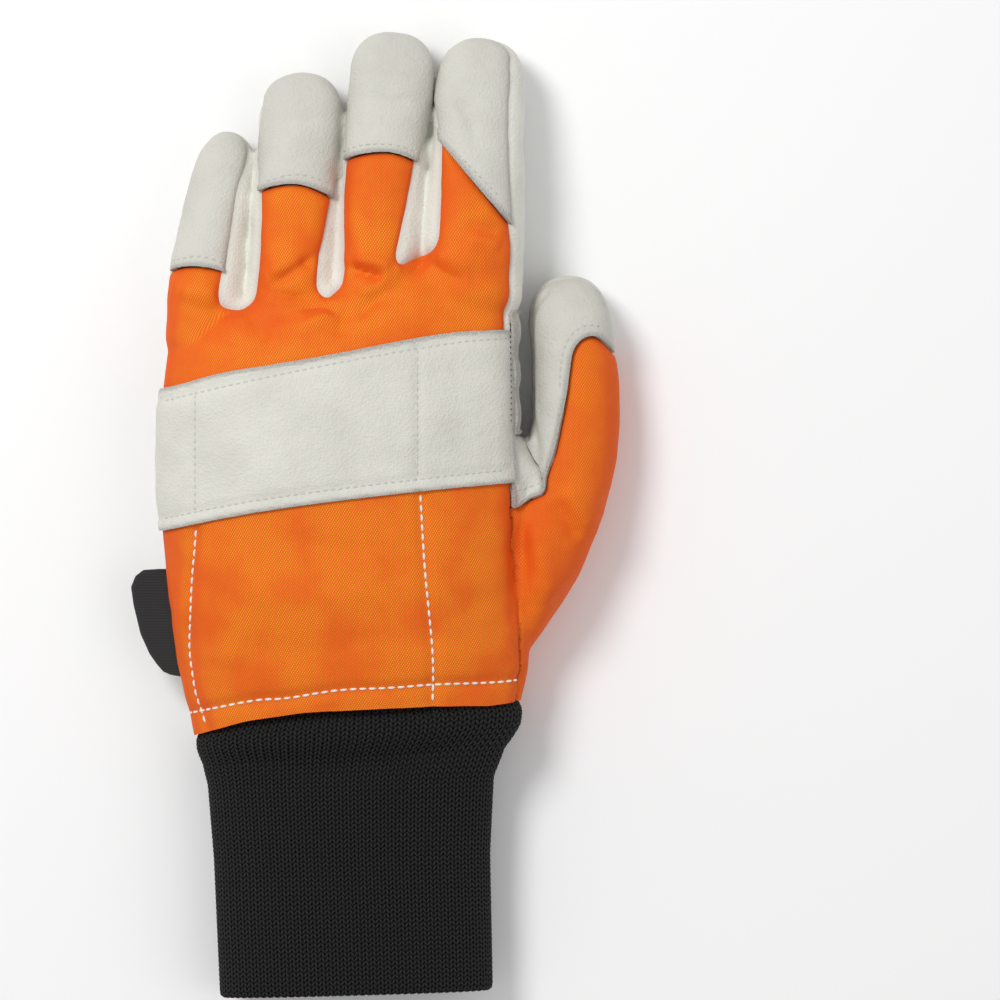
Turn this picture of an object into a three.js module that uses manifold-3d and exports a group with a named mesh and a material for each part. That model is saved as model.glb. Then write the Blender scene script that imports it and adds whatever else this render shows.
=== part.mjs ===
// A left-hand work glove for chainsaw use, lying palm down with the back of the hand up.
// Units are millimetres, +Z is up, +Y runs from the cuff to the fingertips and +X is the thumb's side.
// The glove is a hollow hand form: a palm loft, four fingers and a thumb are joined, and the same
// form one wall smaller is cut out of them. Seams then divide that shell into its leather and fabric
// panels. The knuckle band and the ribbed palm patch are extra layers sewn on the outside.
import * as THREE from "three";
import { mergeVertices } from "three/addons/utils/BufferGeometryUtils.js";
import Module from "manifold-3d";

const wasm = await Module();
wasm.setup();

// Driving dimensions
const PALM_WIDTH = 114;
const PALM_LENGTH = 138;
const PALM_DEPTH = 42;
const CUFF_WIDTH = 88;
const CUFF_LENGTH = 89;
const CUFF_DEPTH = 30;
const LEATHER_WALL = 2.2;
const BACK_WALL = 3.6;
const CUFF_WALL = 2.8;
const CUFF_TUCK = 6;
const CUFF_BEYOND = 0.3;
const SEAM_GAP = 0.3;
const BAND_THICKNESS = 1.3;
const PATCH_THICKNESS = 1.2;
const PATCH_SIDE_HEIGHT = 13;
const RIB_HEIGHT = 1.2;
const RIB_COUNT = 3;
const RIB_WIDTH = 9;
const LABEL_THICKNESS = 1.2;
const LABEL_LENGTH = 34;
const LABEL_REACH = 12.5;
const PALM_SIDES = 28;
const DIGIT_SIDES = 14;
const ROUNDNESS = 2.35;

// The palm loft, from the cuff seam to the finger roots. left and right are shares of the palm width,
// leftAt and rightAt shares of the palm length, and floor and top shares of the palm depth.
const PALM_SECTIONS = [
  { left: -0.405, right: 0.524, leftAt: -0.035, rightAt: 0.035, floor: -0.04, top: 0.86 },
  { left: -0.451, right: 0.536, leftAt: 0.104, rightAt: 0.139, floor: -0.04, top: 0.94 },
  { left: -0.475, right: 0.536, leftAt: 0.267, rightAt: 0.313, floor: -0.04, top: 1.0 },
  { left: -0.492, right: 0.52, leftAt: 0.42, rightAt: 0.5, floor: 0, top: 1.02 },
  { left: -0.503, right: 0.5, leftAt: 0.58, rightAt: 0.68, floor: 0.078, top: 1.0 },
  { left: -0.497, right: 0.492, leftAt: 0.73, rightAt: 0.83, floor: 0.12, top: 0.95 },
  { left: -0.484, right: 0.496, leftAt: 0.845, rightAt: 0.95, floor: 0.13, top: 0.87 },
  { left: -0.462, right: 0.48, leftAt: 0.905, rightAt: 1.05, floor: 0.18, top: 0.76 },
  { left: -0.42, right: 0.44, leftAt: 0.935, rightAt: 1.085, floor: 0.3, top: 0.62 },
];

// The digits. root is a share of the palm's width and length, reach runs from root to tip in
// millimetres, across and along. bow bends the middle sideways, widths and depths are full sizes at
// the root, the middle and the start of the tip, and heights are those of the centre line.
const DIGITS = {
  little: {
    root: { across: -0.386, along: 0.858 }, reach: { across: 9.9, along: 69.3 }, bow: -1.4, tip: 14,
    widths: { root: 24.5, middle: 23.4, tip: 17.6 },
    depths: { root: 24, middle: 22, tip: 19 },
    heights: { root: 18, middle: 15, tip: 9.6 },
  },
  ring: {
    root: { across: -0.142, along: 0.893 }, reach: { across: 4.8, along: 83.2 }, bow: 0.2, tip: 15,
    widths: { root: 28.5, middle: 27.8, tip: 27.4 },
    depths: { root: 26, middle: 24, tip: 20.5 },
    heights: { root: 19.5, middle: 17, tip: 10.6 },
  },
  middle: {
    root: { across: 0.1, along: 0.904 }, reach: { across: 6.8, along: 94.9 }, bow: -0.5, tip: 16,
    widths: { root: 29.6, middle: 27.6, tip: 28.6 },
    depths: { root: 27, middle: 25, tip: 21.5 },
    heights: { root: 19.5, middle: 17.5, tip: 11 },
  },
  index: {
    root: { across: 0.366, along: 0.962 }, reach: { across: 4.5, along: 84.6 }, bow: 0, tip: 15,
    widths: { root: 34, middle: 30.4, tip: 27.4 },
    depths: { root: 27, middle: 26, tip: 22 },
    heights: { root: 19.5, middle: 18.5, tip: 12 },
  },
  thumb: {
    root: { across: 0.365, along: 0.115 }, reach: { across: 30.7, along: 125.1 }, bow: 16, tip: 16,
    widths: { root: 24, middle: 28.6, tip: 25.8 },
    depths: { root: 25, middle: 28, tip: 22.5 },
    heights: { root: 17, middle: 14, tip: 11 },
  },
};
const STEM_LENGTH = 7;
const STEM_GIRTH = 0.6;
const FINGER_STATIONS = [0, 0.33, 0.66];
const THUMB_STATIONS = [0, 0.16, 0.32, 0.48, 0.64, 0.8];
const TIP_STATIONS = [1, 0.55, 0.22, 0.04];
const PAIR_STATIONS = [0, 0.3, 0.6, 0.9, 1];
const BETWEEN_STATIONS = [0.02, 0.3, 0.6, 0.9, 1];
const TIP_BLUNTNESS = 2.5;
const LEAST_SPACING = 0.04;
const LEAST_GIRTH = { across: 0.6, up: 0.5 };

// The edges of the fabric or leather strip on the back of each finger, as shares of half its width
// at each share of its length. -1 and 1 are the finger's sides.
const BACK_STRIPS = {
  little: [
    { at: 0, left: -1, right: 0.38 }, { at: 0.27, left: -1, right: 0.37 },
    { at: 0.53, left: -1, right: 0.54 }, { at: 0.75, left: -1, right: 0.56 },
    { at: 0.88, left: -1, right: 0.75 }, { at: 1, left: -1, right: 1 },
  ],
  ring: [
    { at: 0, left: -0.88, right: 0.6 }, { at: 0.24, left: -0.82, right: 0.64 },
    { at: 0.38, left: -0.83, right: 0.74 }, { at: 0.53, left: -0.88, right: 0.86 },
    { at: 0.64, left: -1, right: 1 }, { at: 1, left: -1, right: 1 },
  ],
  middle: [
    { at: 0, left: -0.72, right: 0.4 }, { at: 0.24, left: -0.84, right: 0.41 },
    { at: 0.41, left: -0.92, right: 0.64 }, { at: 0.55, left: -0.96, right: 0.74 },
    { at: 0.66, left: -1, right: 1 }, { at: 1, left: -1, right: 1 },
  ],
  index: [
    { at: 0, left: -0.66, right: 0.78 }, { at: 0.25, left: -0.7, right: 0.76 },
    { at: 0.61, left: -0.84, right: 0.7 }, { at: 0.74, left: -1, right: 0.68 },
    { at: 0.9, left: -1, right: 0.74 }, { at: 1, left: -1, right: 1 },
  ],
};
const FRONT_STRIPS = {
  little: [
    { at: 0, left: -1, right: 0.66 }, { at: 0.75, left: -1, right: 0.66 },
    { at: 0.9, left: -1, right: 1 }, { at: 1, left: -1, right: 1 },
  ],
  ring: [
    { at: 0, left: -0.66, right: 0.66 }, { at: 0.7, left: -0.68, right: 0.68 },
    { at: 0.88, left: -1, right: 1 }, { at: 1, left: -1, right: 1 },
  ],
  middle: [
    { at: 0, left: -0.66, right: 0.66 }, { at: 0.7, left: -0.68, right: 0.68 },
    { at: 0.88, left: -1, right: 1 }, { at: 1, left: -1, right: 1 },
  ],
  index: [
    { at: 0, left: -0.66, right: 1 }, { at: 0.7, left: -0.68, right: 1 },
    { at: 0.88, left: -1, right: 1 }, { at: 1, left: -1, right: 1 },
  ],
};

// Outlines seen from above: across is a share of the palm width and along a share of the palm length.
const CROTCH_LINE = [
  { across: -0.6, along: 0.9 }, { across: -0.32, along: 0.949 }, { across: -0.254, along: 0.945 },
  { across: -0.049, along: 0.963 }, { across: -0.018, along: 0.97 }, { across: 0.187, along: 1.043 },
  { across: 0.254, along: 1.083 }, { across: 0.478, along: 1.1 },
];
const BACK_RIGHT_EDGE = [
  { across: 0.462, along: 1.02 }, { across: 0.467, along: 0.9 }, { across: 0.472, along: 0.73 },
  { across: 0.482, along: 0.545 }, { across: 0.49, along: 0.489 }, { across: 0.511, along: 0.267 },
  { across: 0.524, along: 0.058 }, { across: 0.526, along: -0.12 },
];
const BAND_TOP = [
  { across: -0.62, along: 0.748 }, { across: -0.487, along: 0.758 }, { across: -0.29, along: 0.798 },
  { across: -0.058, along: 0.826 }, { across: 0.175, along: 0.866 }, { across: 0.313, along: 0.888 },
  { across: 0.477, along: 0.896 },
];
const BAND_BOTTOM = [
  { across: 0.495, along: 0.544 }, { across: 0.229, along: 0.523 }, { across: -0.058, along: 0.495 },
  { across: -0.29, along: 0.466 }, { across: -0.5, along: 0.428 }, { across: -0.62, along: 0.424 },
];
const GUSSET = [
  { across: 0.493, along: 0.656 }, { across: 0.52, along: 0.65 }, { across: 0.56, along: 0.59 },
  { across: 0.588, along: 0.522 }, { across: 0.54, along: 0.505 }, { across: 0.495, along: 0.489 },
];
const THUMB_BACK_EDGE = [
  { across: 0.588, along: 0.522 }, { across: 0.577, along: 0.547 }, { across: 0.608, along: 0.612 },
  { across: 0.626, along: 0.682 }, { across: 0.644, along: 0.756 }, { across: 0.654, along: 0.848 },
  { across: 0.678, along: 0.875 }, { across: 0.71, along: 0.886 }, { across: 0.74, along: 0.875 },
  { across: 0.79, along: 0.83 },
];
const THUMB_FRONT_EDGE = [
  { across: 0.79, along: 0.84 }, { across: 0.735, along: 0.86 }, { across: 0.69, along: 0.835 },
  { across: 0.655, along: 0.73 }, { across: 0.59, along: 0.6 }, { across: 0.49, along: 0.43 },
  { across: 0.35, along: 0.26 }, { across: 0.235, along: 0.12 }, { across: 0.14, along: -0.12 },
];
const THUMB_CROTCH = [
  { across: 0.545, along: 0.62 }, { across: 0.545, along: 0.52 },
];
const PATCH_TOP = [
  { across: -0.62, along: 0.905 }, { across: -0.02, along: 0.915 }, { across: 0.56, along: 0.945 },
];
const PATCH_BOTTOM = [
  { across: 0.56, along: 0.655 }, { across: -0.02, along: 0.62 }, { across: -0.62, along: 0.61 },
];
const PATCH_SIDES = { thumb: 0.503, little: -0.3, rise: 0.7 };
const LABEL_PLACE = 0.218;
const SIDE_SEAM = [
  { along: -0.2, up: 0.36 }, { along: 0.3, up: 0.42 }, { along: 0.75, up: 0.46 }, { along: 1.1, up: 0.44 },
];
const CAP_LINES = {
  little: [
    { across: -1.4, at: 0.3 }, { across: -0.5, at: 0.36 }, { across: 0.2, at: 0.36 },
    { across: 1.4, at: 0.3 },
  ],
  ring: [
    { across: -1.4, at: 0.5 }, { across: -0.5, at: 0.56 }, { across: 0.3, at: 0.56 },
    { across: 1.4, at: 0.49 },
  ],
  middle: [
    { across: -1.4, at: 0.53 }, { across: -0.5, at: 0.575 }, { across: 0.3, at: 0.585 },
    { across: 1.4, at: 0.54 },
  ],
  index: [
    { across: -1.4, at: 0.66 }, { across: -0.85, at: 0.615 }, { across: -0.1, at: 0.46 },
    { across: 0.76, at: 0.29 }, { across: 1.4, at: 0.16 },
  ],
};
const FINGERS = ["little", "ring", "middle", "index"];
const FAR = 60;
const WEDGE_REACH = 1.15;
const BEYOND_TIP = 8;
const CAP_REACH = 1.4;
const BEYOND_CAP = 10;
const FRONT_REACH = 1.6;
const FRONT_LENGTH = 110;
const FRONT_ROOT = 0.16;

// The cuff, from its seam down. down is a share of the cuff length, hand says how much of the hand's
// section at the seam is left, and left and right are shares of the cuff width.
const CUFF_SECTIONS = [
  { down: 0.012, hand: 0.97, left: -0.5, right: 0.6, tilt: 1 },
  { down: 0.07, hand: 0.86, left: -0.5, right: 0.6, tilt: 0.85 },
  { down: 0.14, hand: 0.3, left: -0.49, right: 0.58, tilt: 0.55 },
  { down: 0.23, hand: 0.04, left: -0.48, right: 0.565, tilt: 0.3 },
  { down: 0.5, hand: 0, left: -0.452, right: 0.556, tilt: 0.12 },
  { down: 0.975, hand: 0, left: -0.424, right: 0.565, tilt: 0.1 },
  { down: 1, hand: 0, left: -0.414, right: 0.555, tilt: 0.1 },
];

const COLOURS = { leather: 0xdcdcd4, fabric: 0xee6f1c, knit: 0x1d1c1b, label: 0x161616 };

const ROUGHNESS = 0.75;

const lerp = THREE.MathUtils.lerp;

// Reads one column of a table at any place, straight between its rows
function readTable(rows, at, place, column) {
  const last = rows[rows.length - 1];
  if (at <= rows[0][place]) return rows[0][column];
  if (at >= last[place]) return last[column];
  const i = rows.findIndex((row) => row[place] > at);
  const share = (at - rows[i - 1][place]) / (rows[i][place] - rows[i - 1][place]);
  return lerp(rows[i - 1][column], rows[i][column], share);
}

// A value that runs through three others: at the root, the middle and the tip.
function throughThree({ root, middle, tip }, at) {
  return root * (1 - at) * (1 - 2 * at) + 4 * middle * at * (1 - at) + tip * at * (2 * at - 1);
}

function superellipse(turn, halfWidth, halfHeight) {
  const c = Math.cos(turn);
  const s = Math.sin(turn);
  const power = 2 / ROUNDNESS;
  return [Math.sign(c) * Math.abs(c) ** power * halfWidth, Math.sign(s) * Math.abs(s) ** power * halfHeight];
}

// Solids from three.js geometry, for joining and cutting
function solidOf(geometry) {
  const bare = geometry.clone();
  bare.deleteAttribute("normal");
  bare.deleteAttribute("uv");
  const merged = mergeVertices(bare, 1e-5);
  const vertProperties = merged.attributes.position.array;
  const made = (triVerts) =>
    new wasm.Manifold(new wasm.Mesh({ numProp: 3, vertProperties, triVerts }));
  const corners = new Uint32Array(merged.index.array);
  const solid = made(corners);
  return solid.volume() > 0 ? solid : made(corners.reverse());
}

function geometryOf(solid) {
  const mesh = solid.getMesh();
  const geometry = new THREE.BufferGeometry();
  geometry.setAttribute("position", new THREE.BufferAttribute(mesh.vertProperties, mesh.numProp));
  geometry.setIndex(new THREE.BufferAttribute(mesh.triVerts, 1));
  return geometry;
}

// A cut can leave crumbs at the ends of a long seam, so a panel is the largest body of its cut.
function largest(solid) {
  return solid.decompose().reduce((a, b) => (a.volume() > b.volume() ? a : b));
}

const joined = (solids) => solids.reduce((a, b) => a.add(b));

// A closed skin through a row of rings, made by moving the vertices of a CylinderGeometry
function loft(rings) {
  const sides = rings[0].length;
  const geometry = new THREE.CylinderGeometry(1, 1, 1, sides, rings.length - 1);
  const position = geometry.attributes.position;
  const centres = rings.map((ring) =>
    ring.reduce((sum, p) => sum.add(p), new THREE.Vector3()).divideScalar(sides));
  for (let i = 0; i < position.count; i++) {
    const row = Math.round((0.5 - position.getY(i)) * (rings.length - 1));
    const x = position.getX(i);
    const z = position.getZ(i);
    const turn = Math.atan2(x, z) / (2 * Math.PI) + 1;
    const p = Math.hypot(x, z) < 0.5 ? centres[row] : rings[row][Math.round(turn * sides) % sides];
    position.setXYZ(i, p.x, p.y, p.z);
  }
  return solidOf(geometry);
}

// The hand form. grow is added to every half size, and pad is taken off its top.
function palmRing(section, grow, pad, shift = 0) {
  const left = section.left * PALM_WIDTH;
  const right = section.right * PALM_WIDTH;
  const top = section.top * PALM_DEPTH + grow - pad;
  const floor = section.floor * PALM_DEPTH - grow;
  const ring = [];
  for (let i = 0; i < PALM_SIDES; i++) {
    const turn = (2 * Math.PI * i) / PALM_SIDES;
    const [across, up] = superellipse(turn, (right - left) / 2 + grow, (top - floor) / 2);
    const x = (left + right) / 2 + across;
    const share = (x - left) / (right - left);
    const y = lerp(section.leftAt, section.rightAt, share) * PALM_LENGTH + shift;
    ring.push(new THREE.Vector3(x, y, Math.max((top + floor) / 2 + up, -grow)));
  }
  return ring;
}

function palm(grow, pad) {
  const last = PALM_SECTIONS.length - 1;
  const rings = PALM_SECTIONS.map((section, i) => palmRing(section, grow, pad, i === last ? grow : 0));
  if (grow !== 0) rings.unshift(palmRing(PALM_SECTIONS[0], grow, pad, -FAR / 2));
  return loft(rings);
}

// A digit's centre line, sideways direction and half sizes at a share of its length
function digitAt(digit, at) {
  const bend = Math.sin(Math.PI * at) * digit.bow;
  const turnBack = Math.PI * Math.cos(Math.PI * at) * digit.bow;
  const { across, along } = digit.reach;
  const length = Math.hypot(across, along);
  const side = new THREE.Vector3(along / length, -across / length, 0);
  const centre = new THREE.Vector3(
    digit.root.across * PALM_WIDTH + across * at,
    digit.root.along * PALM_LENGTH + along * at,
    throughThree(digit.heights, at));
  centre.addScaledVector(side, bend);
  const heading = new THREE.Vector3(across, along, 0).addScaledVector(side, turnBack).normalize();
  return {
    centre,
    side: new THREE.Vector3(heading.y, -heading.x, 0),
    heading,
    halfWidth: throughThree(digit.widths, at) / 2,
    halfDepth: throughThree(digit.depths, at) / 2,
    length,
  };
}

// A point seen from above, some half widths to the side of a digit's centre line and further on
function besideDigit(digit, at, across, on) {
  const { centre, side, heading, halfWidth } = digitAt(digit, at);
  return new THREE.Vector2(
    centre.x + side.x * across * halfWidth + heading.x * on,
    centre.y + side.y * across * halfWidth + heading.y * on);
}

function digitStations(digit) {
  const tipShare = digit.tip / Math.hypot(digit.reach.across, digit.reach.along);
  const along = digit === DIGITS.thumb ? THUMB_STATIONS : FINGER_STATIONS;
  const shaft = along.filter((at) => at < 1 - tipShare - LEAST_SPACING).map((at) => [at, 1]);
  const end = TIP_STATIONS.map((left) => [
    1 - tipShare * left, (1 - (1 - left) ** TIP_BLUNTNESS) ** (1 / TIP_BLUNTNESS)]);
  return [...shaft, ...end];
}

function digit(name, grow) {
  const shape = DIGITS[name];
  const stations = [[0, STEM_GIRTH], ...digitStations(shape)];
  const rings = stations.map(([at, girth], i) => {
    const { centre, side, heading, halfWidth, halfDepth } = digitAt(shape, at);
    const push = i === stations.length - 1 ? grow : i === 0 ? -STEM_LENGTH : 0;
    return Array.from({ length: DIGIT_SIDES }, (_, k) => {
      const turn = (2 * Math.PI * k) / DIGIT_SIDES;
      const [across, up] = superellipse(
        turn,
        Math.max(halfWidth * girth + grow, LEAST_GIRTH.across),
        Math.max(halfDepth * girth + grow, LEAST_GIRTH.up));
      const p = centre.clone().addScaledVector(side, across).addScaledVector(heading, push);
      p.z = Math.max(p.z + up, -grow);
      return p;
    });
  });
  return loft(rings);
}

function handForm(grow, pad = 0) {
  return joined([palm(grow, pad), ...Object.keys(DIGITS).map((name) => digit(name, grow))]);
}

// Cutters for the seams. Each one can be grown by a little, which leaves the gap of a seam.
const placed = ({ across, along }) => new THREE.Vector2(across * PALM_WIDTH, along * PALM_LENGTH);

function grownOutline(points, grow) {
  const turned = THREE.ShapeUtils.isClockWise(points) ? [...points].reverse() : points;
  return turned.map((p, i) => {
    const before = turned[(i + turned.length - 1) % turned.length];
    const after = turned[(i + 1) % turned.length];
    const a = p.clone().sub(before).normalize();
    const b = after.clone().sub(p).normalize();
    const out = new THREE.Vector2(a.y + b.y, -a.x - b.x).normalize();
    const sharpness = Math.max(0.35, out.x * a.y - out.y * a.x);
    return p.clone().addScaledVector(out, grow / sharpness);
  });
}

function prism(points, low, high, grow = 0) {
  const shape = new THREE.Shape(grownOutline(points, grow));
  const geometry = new THREE.ExtrudeGeometry(shape, { depth: high - low + 2 * grow, bevelEnabled: false });
  geometry.translate(0, 0, low - grow);
  return solidOf(geometry);
}

// All that lies above the side seam, whose height follows a table along the palm
function aboveSideSeam(grow = 0) {
  const seam = SIDE_SEAM.map(({ along, up }) => new THREE.Vector2(along * PALM_LENGTH, up * PALM_DEPTH - grow));
  const first = seam[0];
  const last = seam[seam.length - 1];
  const outline = [
    new THREE.Vector2(first.x - FAR, first.y), ...seam, new THREE.Vector2(last.x + 3 * FAR, last.y),
    new THREE.Vector2(last.x + 3 * FAR, 2 * FAR), new THREE.Vector2(first.x - FAR, 2 * FAR)];
  const geometry = new THREE.ExtrudeGeometry(new THREE.Shape(outline), { depth: 6 * FAR, bevelEnabled: false });
  geometry.applyMatrix4(new THREE.Matrix4().set(0, 0, 1, -3 * FAR, 1, 0, 0, 0, 0, 1, 0, 0, 0, 0, 0, 1));
  return solidOf(geometry);
}

// The space around one finger, up to half way to its neighbours
function ownSpace(name, grow) {
  const i = FINGERS.indexOf(name);
  const middleAt = (a, b, at) => {
    const p = digitAt(DIGITS[a], at);
    const q = digitAt(DIGITS[b], at);
    const middle = p.centre.clone().lerp(q.centre, p.halfWidth / (p.halfWidth + q.halfWidth));
    return new THREE.Vector2(middle.x, middle.y);
  };
  const line = (a, b) => {
    const points = PAIR_STATIONS.map((at) => middleAt(a, b, at));
    const last = points[points.length - 1];
    return [...points, new THREE.Vector2(last.x, last.y + FAR)];
  };
  const outer = (across) => [placed({ across, along: 0.5 }), placed({ across, along: 2 })];
  const left = i > 0 ? line(FINGERS[i - 1], name) : outer(-1);
  const right = i < FINGERS.length - 1 ? line(name, FINGERS[i + 1]) : outer(1);
  return prism([...left, ...right.reverse()], -FAR, 2 * FAR, grow);
}

// The wedge of a finger between the two edges of a strip, from its centre line outwards. facing is 1
// for the back of the hand and -1 for the palm side.
function stripWedge(name, strips, facing, grow) {
  const shape = DIGITS[name];
  const rows = strips[name];
  const stations = rows.map((row) => row.at);
  const ringAt = (at, push) => {
    const { centre, side, heading, halfWidth, halfDepth } = digitAt(shape, at);
    const reach = halfWidth * WEDGE_REACH;
    const edge = (share) => {
      const rise = halfDepth * Math.max(0, 1 - Math.abs(share) ** ROUNDNESS) ** (1 / ROUNDNESS);
      const ray = new THREE.Vector2(share * halfWidth, rise);
      const out = new THREE.Vector2(Math.sign(share) * rise, -Math.abs(share) * halfWidth).normalize();
      const stretch = reach / Math.abs(ray.x);
      return [Math.sign(share) * reach + out.x * grow, ray.y * stretch + out.y * grow];
    };
    const outline = [
      [0, -1.5 * grow],
      edge(readTable(rows, at, "at", "left")),
      [-reach - grow, 2 * FAR],
      [reach + grow, 2 * FAR],
      edge(readTable(rows, at, "at", "right"))];
    return outline.map(([across, up]) => {
      const p = centre.clone().addScaledVector(side, across).addScaledVector(heading, push);
      p.z += up * facing;
      return p;
    });
  };
  const rings = stations.map((at) => ringAt(at, 0));
  rings.push(ringAt(1, BEYOND_TIP));
  return loft(rings).intersect(ownSpace(name, grow));
}

const LOW = -0.12;
const palmOutline = [...CROTCH_LINE, ...BACK_RIGHT_EDGE, { across: -0.6, along: LOW }].map(placed);
const frontOutline = [
  ...CROTCH_LINE,
  { across: 0.6, along: 1.1 }, { across: 0.6, along: LOW }, { across: -0.6, along: LOW },
].map(placed);

function backRegion(grow) {
  const body = prism(palmOutline, 0, 2 * FAR, grow).intersect(aboveSideSeam(grow));
  return joined([body, ...FINGERS.map((name) => stripWedge(name, BACK_STRIPS, 1, grow))]);
}

function frontRegion(grow) {
  const body = prism(frontOutline, -FAR, 2 * FAR, grow).subtract(aboveSideSeam(-grow));
  return joined([body, ...FINGERS.map((name) => stripWedge(name, FRONT_STRIPS, -1, grow))]);
}

// Between the centre lines of two neighbouring fingers
function betweenFingers(first, second, grow) {
  const line = (name) => BETWEEN_STATIONS.map((at) => {
    const { centre } = digitAt(DIGITS[name], at);
    return new THREE.Vector2(centre.x, centre.y);
  });
  const left = line(first);
  const right = line(second);
  const over = (line) => new THREE.Vector2(line[line.length - 1].x, line[line.length - 1].y + BEYOND_TIP);
  const outline = [...left, over(left), over(right), ...right.reverse()];
  return prism(outline, -FAR, 2 * FAR, grow);
}

// Beyond the stitched lower edge of a leather fingertip
function beyondCapLine(name, grow) {
  const shape = DIGITS[name];
  const line = CAP_LINES[name].map(({ across, at }) => besideDigit(shape, at, across, 0));
  const far = [CAP_REACH, -CAP_REACH].map((across) => besideDigit(shape, 1, across, BEYOND_CAP));
  return prism([...line, ...far], -FAR, 2 * FAR, grow);
}

// The thumb's own panels, each an outline above its middle height and another below it
const THUMB_MIDDLE = DIGITS.thumb.heights.middle;
const THUMB_SIDE = { across: 1, top: 0.83, under: 0.84 };
const THUMB_INNER_EDGE = [
  { across: 0.526, along: LOW }, { across: 0.524, along: 0.058 },
  { across: 0.511, along: 0.267 }, { across: 0.495, along: 0.489 },
];
const THUMB_WHOLE = [
  { across: 0.545, along: 1.1 }, ...THUMB_CROTCH, { across: 0.55, along: 0.5 },
  { across: 0.6, along: 0.48 }, { across: 1, along: 0.48 }, { across: 1, along: 1.1 },
];
const thumbBackTop = [
  ...THUMB_BACK_EDGE,
  { across: THUMB_SIDE.across, along: THUMB_SIDE.top }, { across: THUMB_SIDE.across, along: LOW },
  ...THUMB_INNER_EDGE,
].map(placed);
const thumbBackUnder = [
  ...THUMB_FRONT_EDGE,
  { across: THUMB_SIDE.across, along: LOW }, { across: THUMB_SIDE.across, along: THUMB_SIDE.under },
].map(placed);
const thumbWhole = THUMB_WHOLE.map(placed);

function thumbBackRegion(grow) {
  const above = prism(thumbBackTop, THUMB_MIDDLE, 2 * FAR, grow);
  const below = prism(thumbBackUnder, -FAR, THUMB_MIDDLE + SEAM_GAP / 2, grow);
  return above.add(below);
}

// The glove's shell, and the panels that its seams divide it into
const outside = handForm(0);
const shell = outside.subtract(handForm(-LEATHER_WALL, BACK_WALL - LEATHER_WALL));
const panels = {};
let rest = shell;

function cutPanel(name, region) {
  panels[name] = largest(rest.intersect(region(0)));
  rest = rest.subtract(region(SEAM_GAP));
}

cutPanel("thumb_gusset", (grow) => prism(GUSSET.map(placed), THUMB_MIDDLE, 2 * FAR, grow));
cutPanel("thumb_back", thumbBackRegion);
cutPanel("thumb_tip", (grow) => prism(thumbWhole, THUMB_MIDDLE, 2 * FAR, grow));
cutPanel("thumb_front", (grow) => prism(thumbWhole, -FAR, THUMB_MIDDLE, grow));

let back = rest.intersect(backRegion(0));
rest = rest.subtract(backRegion(SEAM_GAP));
for (const name of FINGERS) {
  const tip = (grow) => beyondCapLine(name, grow).intersect(ownSpace(name, grow));
  panels[name + "_tip"] = largest(back.intersect(tip(0)));
  back = back.subtract(tip(SEAM_GAP));
}
panels.back_panel = largest(back);

const front = frontRegion(0);
const frontAndGap = frontRegion(SEAM_GAP);
for (let i = 0; i < FINGERS.length - 1; i++) {
  const pair = [FINGERS[i], FINGERS[i + 1]];
  const between = rest.intersect(betweenFingers(...pair, 0));
  panels["side_strip_" + pair.join("_")] = largest(between.subtract(frontAndGap));
  rest = rest.subtract(betweenFingers(...pair, SEAM_GAP).subtract(front));
}
for (const name of ["ring", "middle"]) {
  const own = (grow) => {
    const corner = (across, on) => besideDigit(DIGITS[name], FRONT_ROOT, across, on);
    const outline = [
      corner(-FRONT_REACH, 0), corner(FRONT_REACH, 0),
      corner(FRONT_REACH, FRONT_LENGTH), corner(-FRONT_REACH, FRONT_LENGTH)];
    return prism(outline, -FAR, 2 * FAR, grow).intersect(stripWedge(name, FRONT_STRIPS, -1, grow));
  };
  cutPanel(name + "_front", own);
}
panels.palm_leather = largest(rest);

// Layers sewn on the outside
function layer(inner, thickness) {
  return handForm(inner + thickness).subtract(handForm(inner));
}

const bandOutline = [...BAND_TOP, ...BAND_BOTTOM].map(placed);
const band = prism(bandOutline, 0, 2 * FAR).intersect(aboveSideSeam(-SEAM_GAP));
panels.knuckle_band = largest(layer(SEAM_GAP, BAND_THICKNESS).intersect(band));

const patchOutline = [...PATCH_TOP, ...PATCH_BOTTOM].map(placed);
function patchBlock(left, right, low, high) {
  const corners = [
    { across: left, along: 1 }, { across: right, along: 1 },
    { across: right, along: 0.5 }, { across: left, along: 0.5 }];
  return prism(corners.map(placed), low, high);
}
const sideStrip = patchBlock(PATCH_SIDES.thumb, 0.62, -FAR, PATCH_SIDES.rise * PALM_DEPTH);
const leftSide = patchBlock(-0.7, PATCH_SIDES.little, PATCH_SIDE_HEIGHT, 2 * FAR);
const underside = prism(frontOutline, -FAR, 2 * FAR, FAR / 4)
  .subtract(aboveSideSeam(-SEAM_GAP)).subtract(leftSide).add(sideStrip);
const patchArea = prism(patchOutline, -FAR, 2 * FAR).intersect(underside);
const ribs = Array.from({ length: RIB_COUNT }, (_, i) => {
  const line = (share, step) => PATCH_TOP.map((top, k) => {
    const bottom = PATCH_BOTTOM[PATCH_BOTTOM.length - 1 - k];
    const y = lerp(bottom.along * PALM_LENGTH, top.along * PALM_LENGTH, share);
    return new THREE.Vector2(top.across * PALM_WIDTH, y + step);
  });
  const middle = (i + 0.5) / RIB_COUNT;
  return prism([...line(middle, -RIB_WIDTH / 2), ...line(middle, RIB_WIDTH / 2).reverse()], -FAR, 2 * FAR);
});
const patchBase = palm(SEAM_GAP + PATCH_THICKNESS, 0).intersect(patchArea);
const ribbed = palm(SEAM_GAP + PATCH_THICKNESS + RIB_HEIGHT, 0).intersect(patchArea);
const patchRibs = ribbed.intersect(joined(ribs));
panels.palm_patch = largest(patchBase.add(patchRibs).subtract(handForm(SEAM_GAP)));

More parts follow.
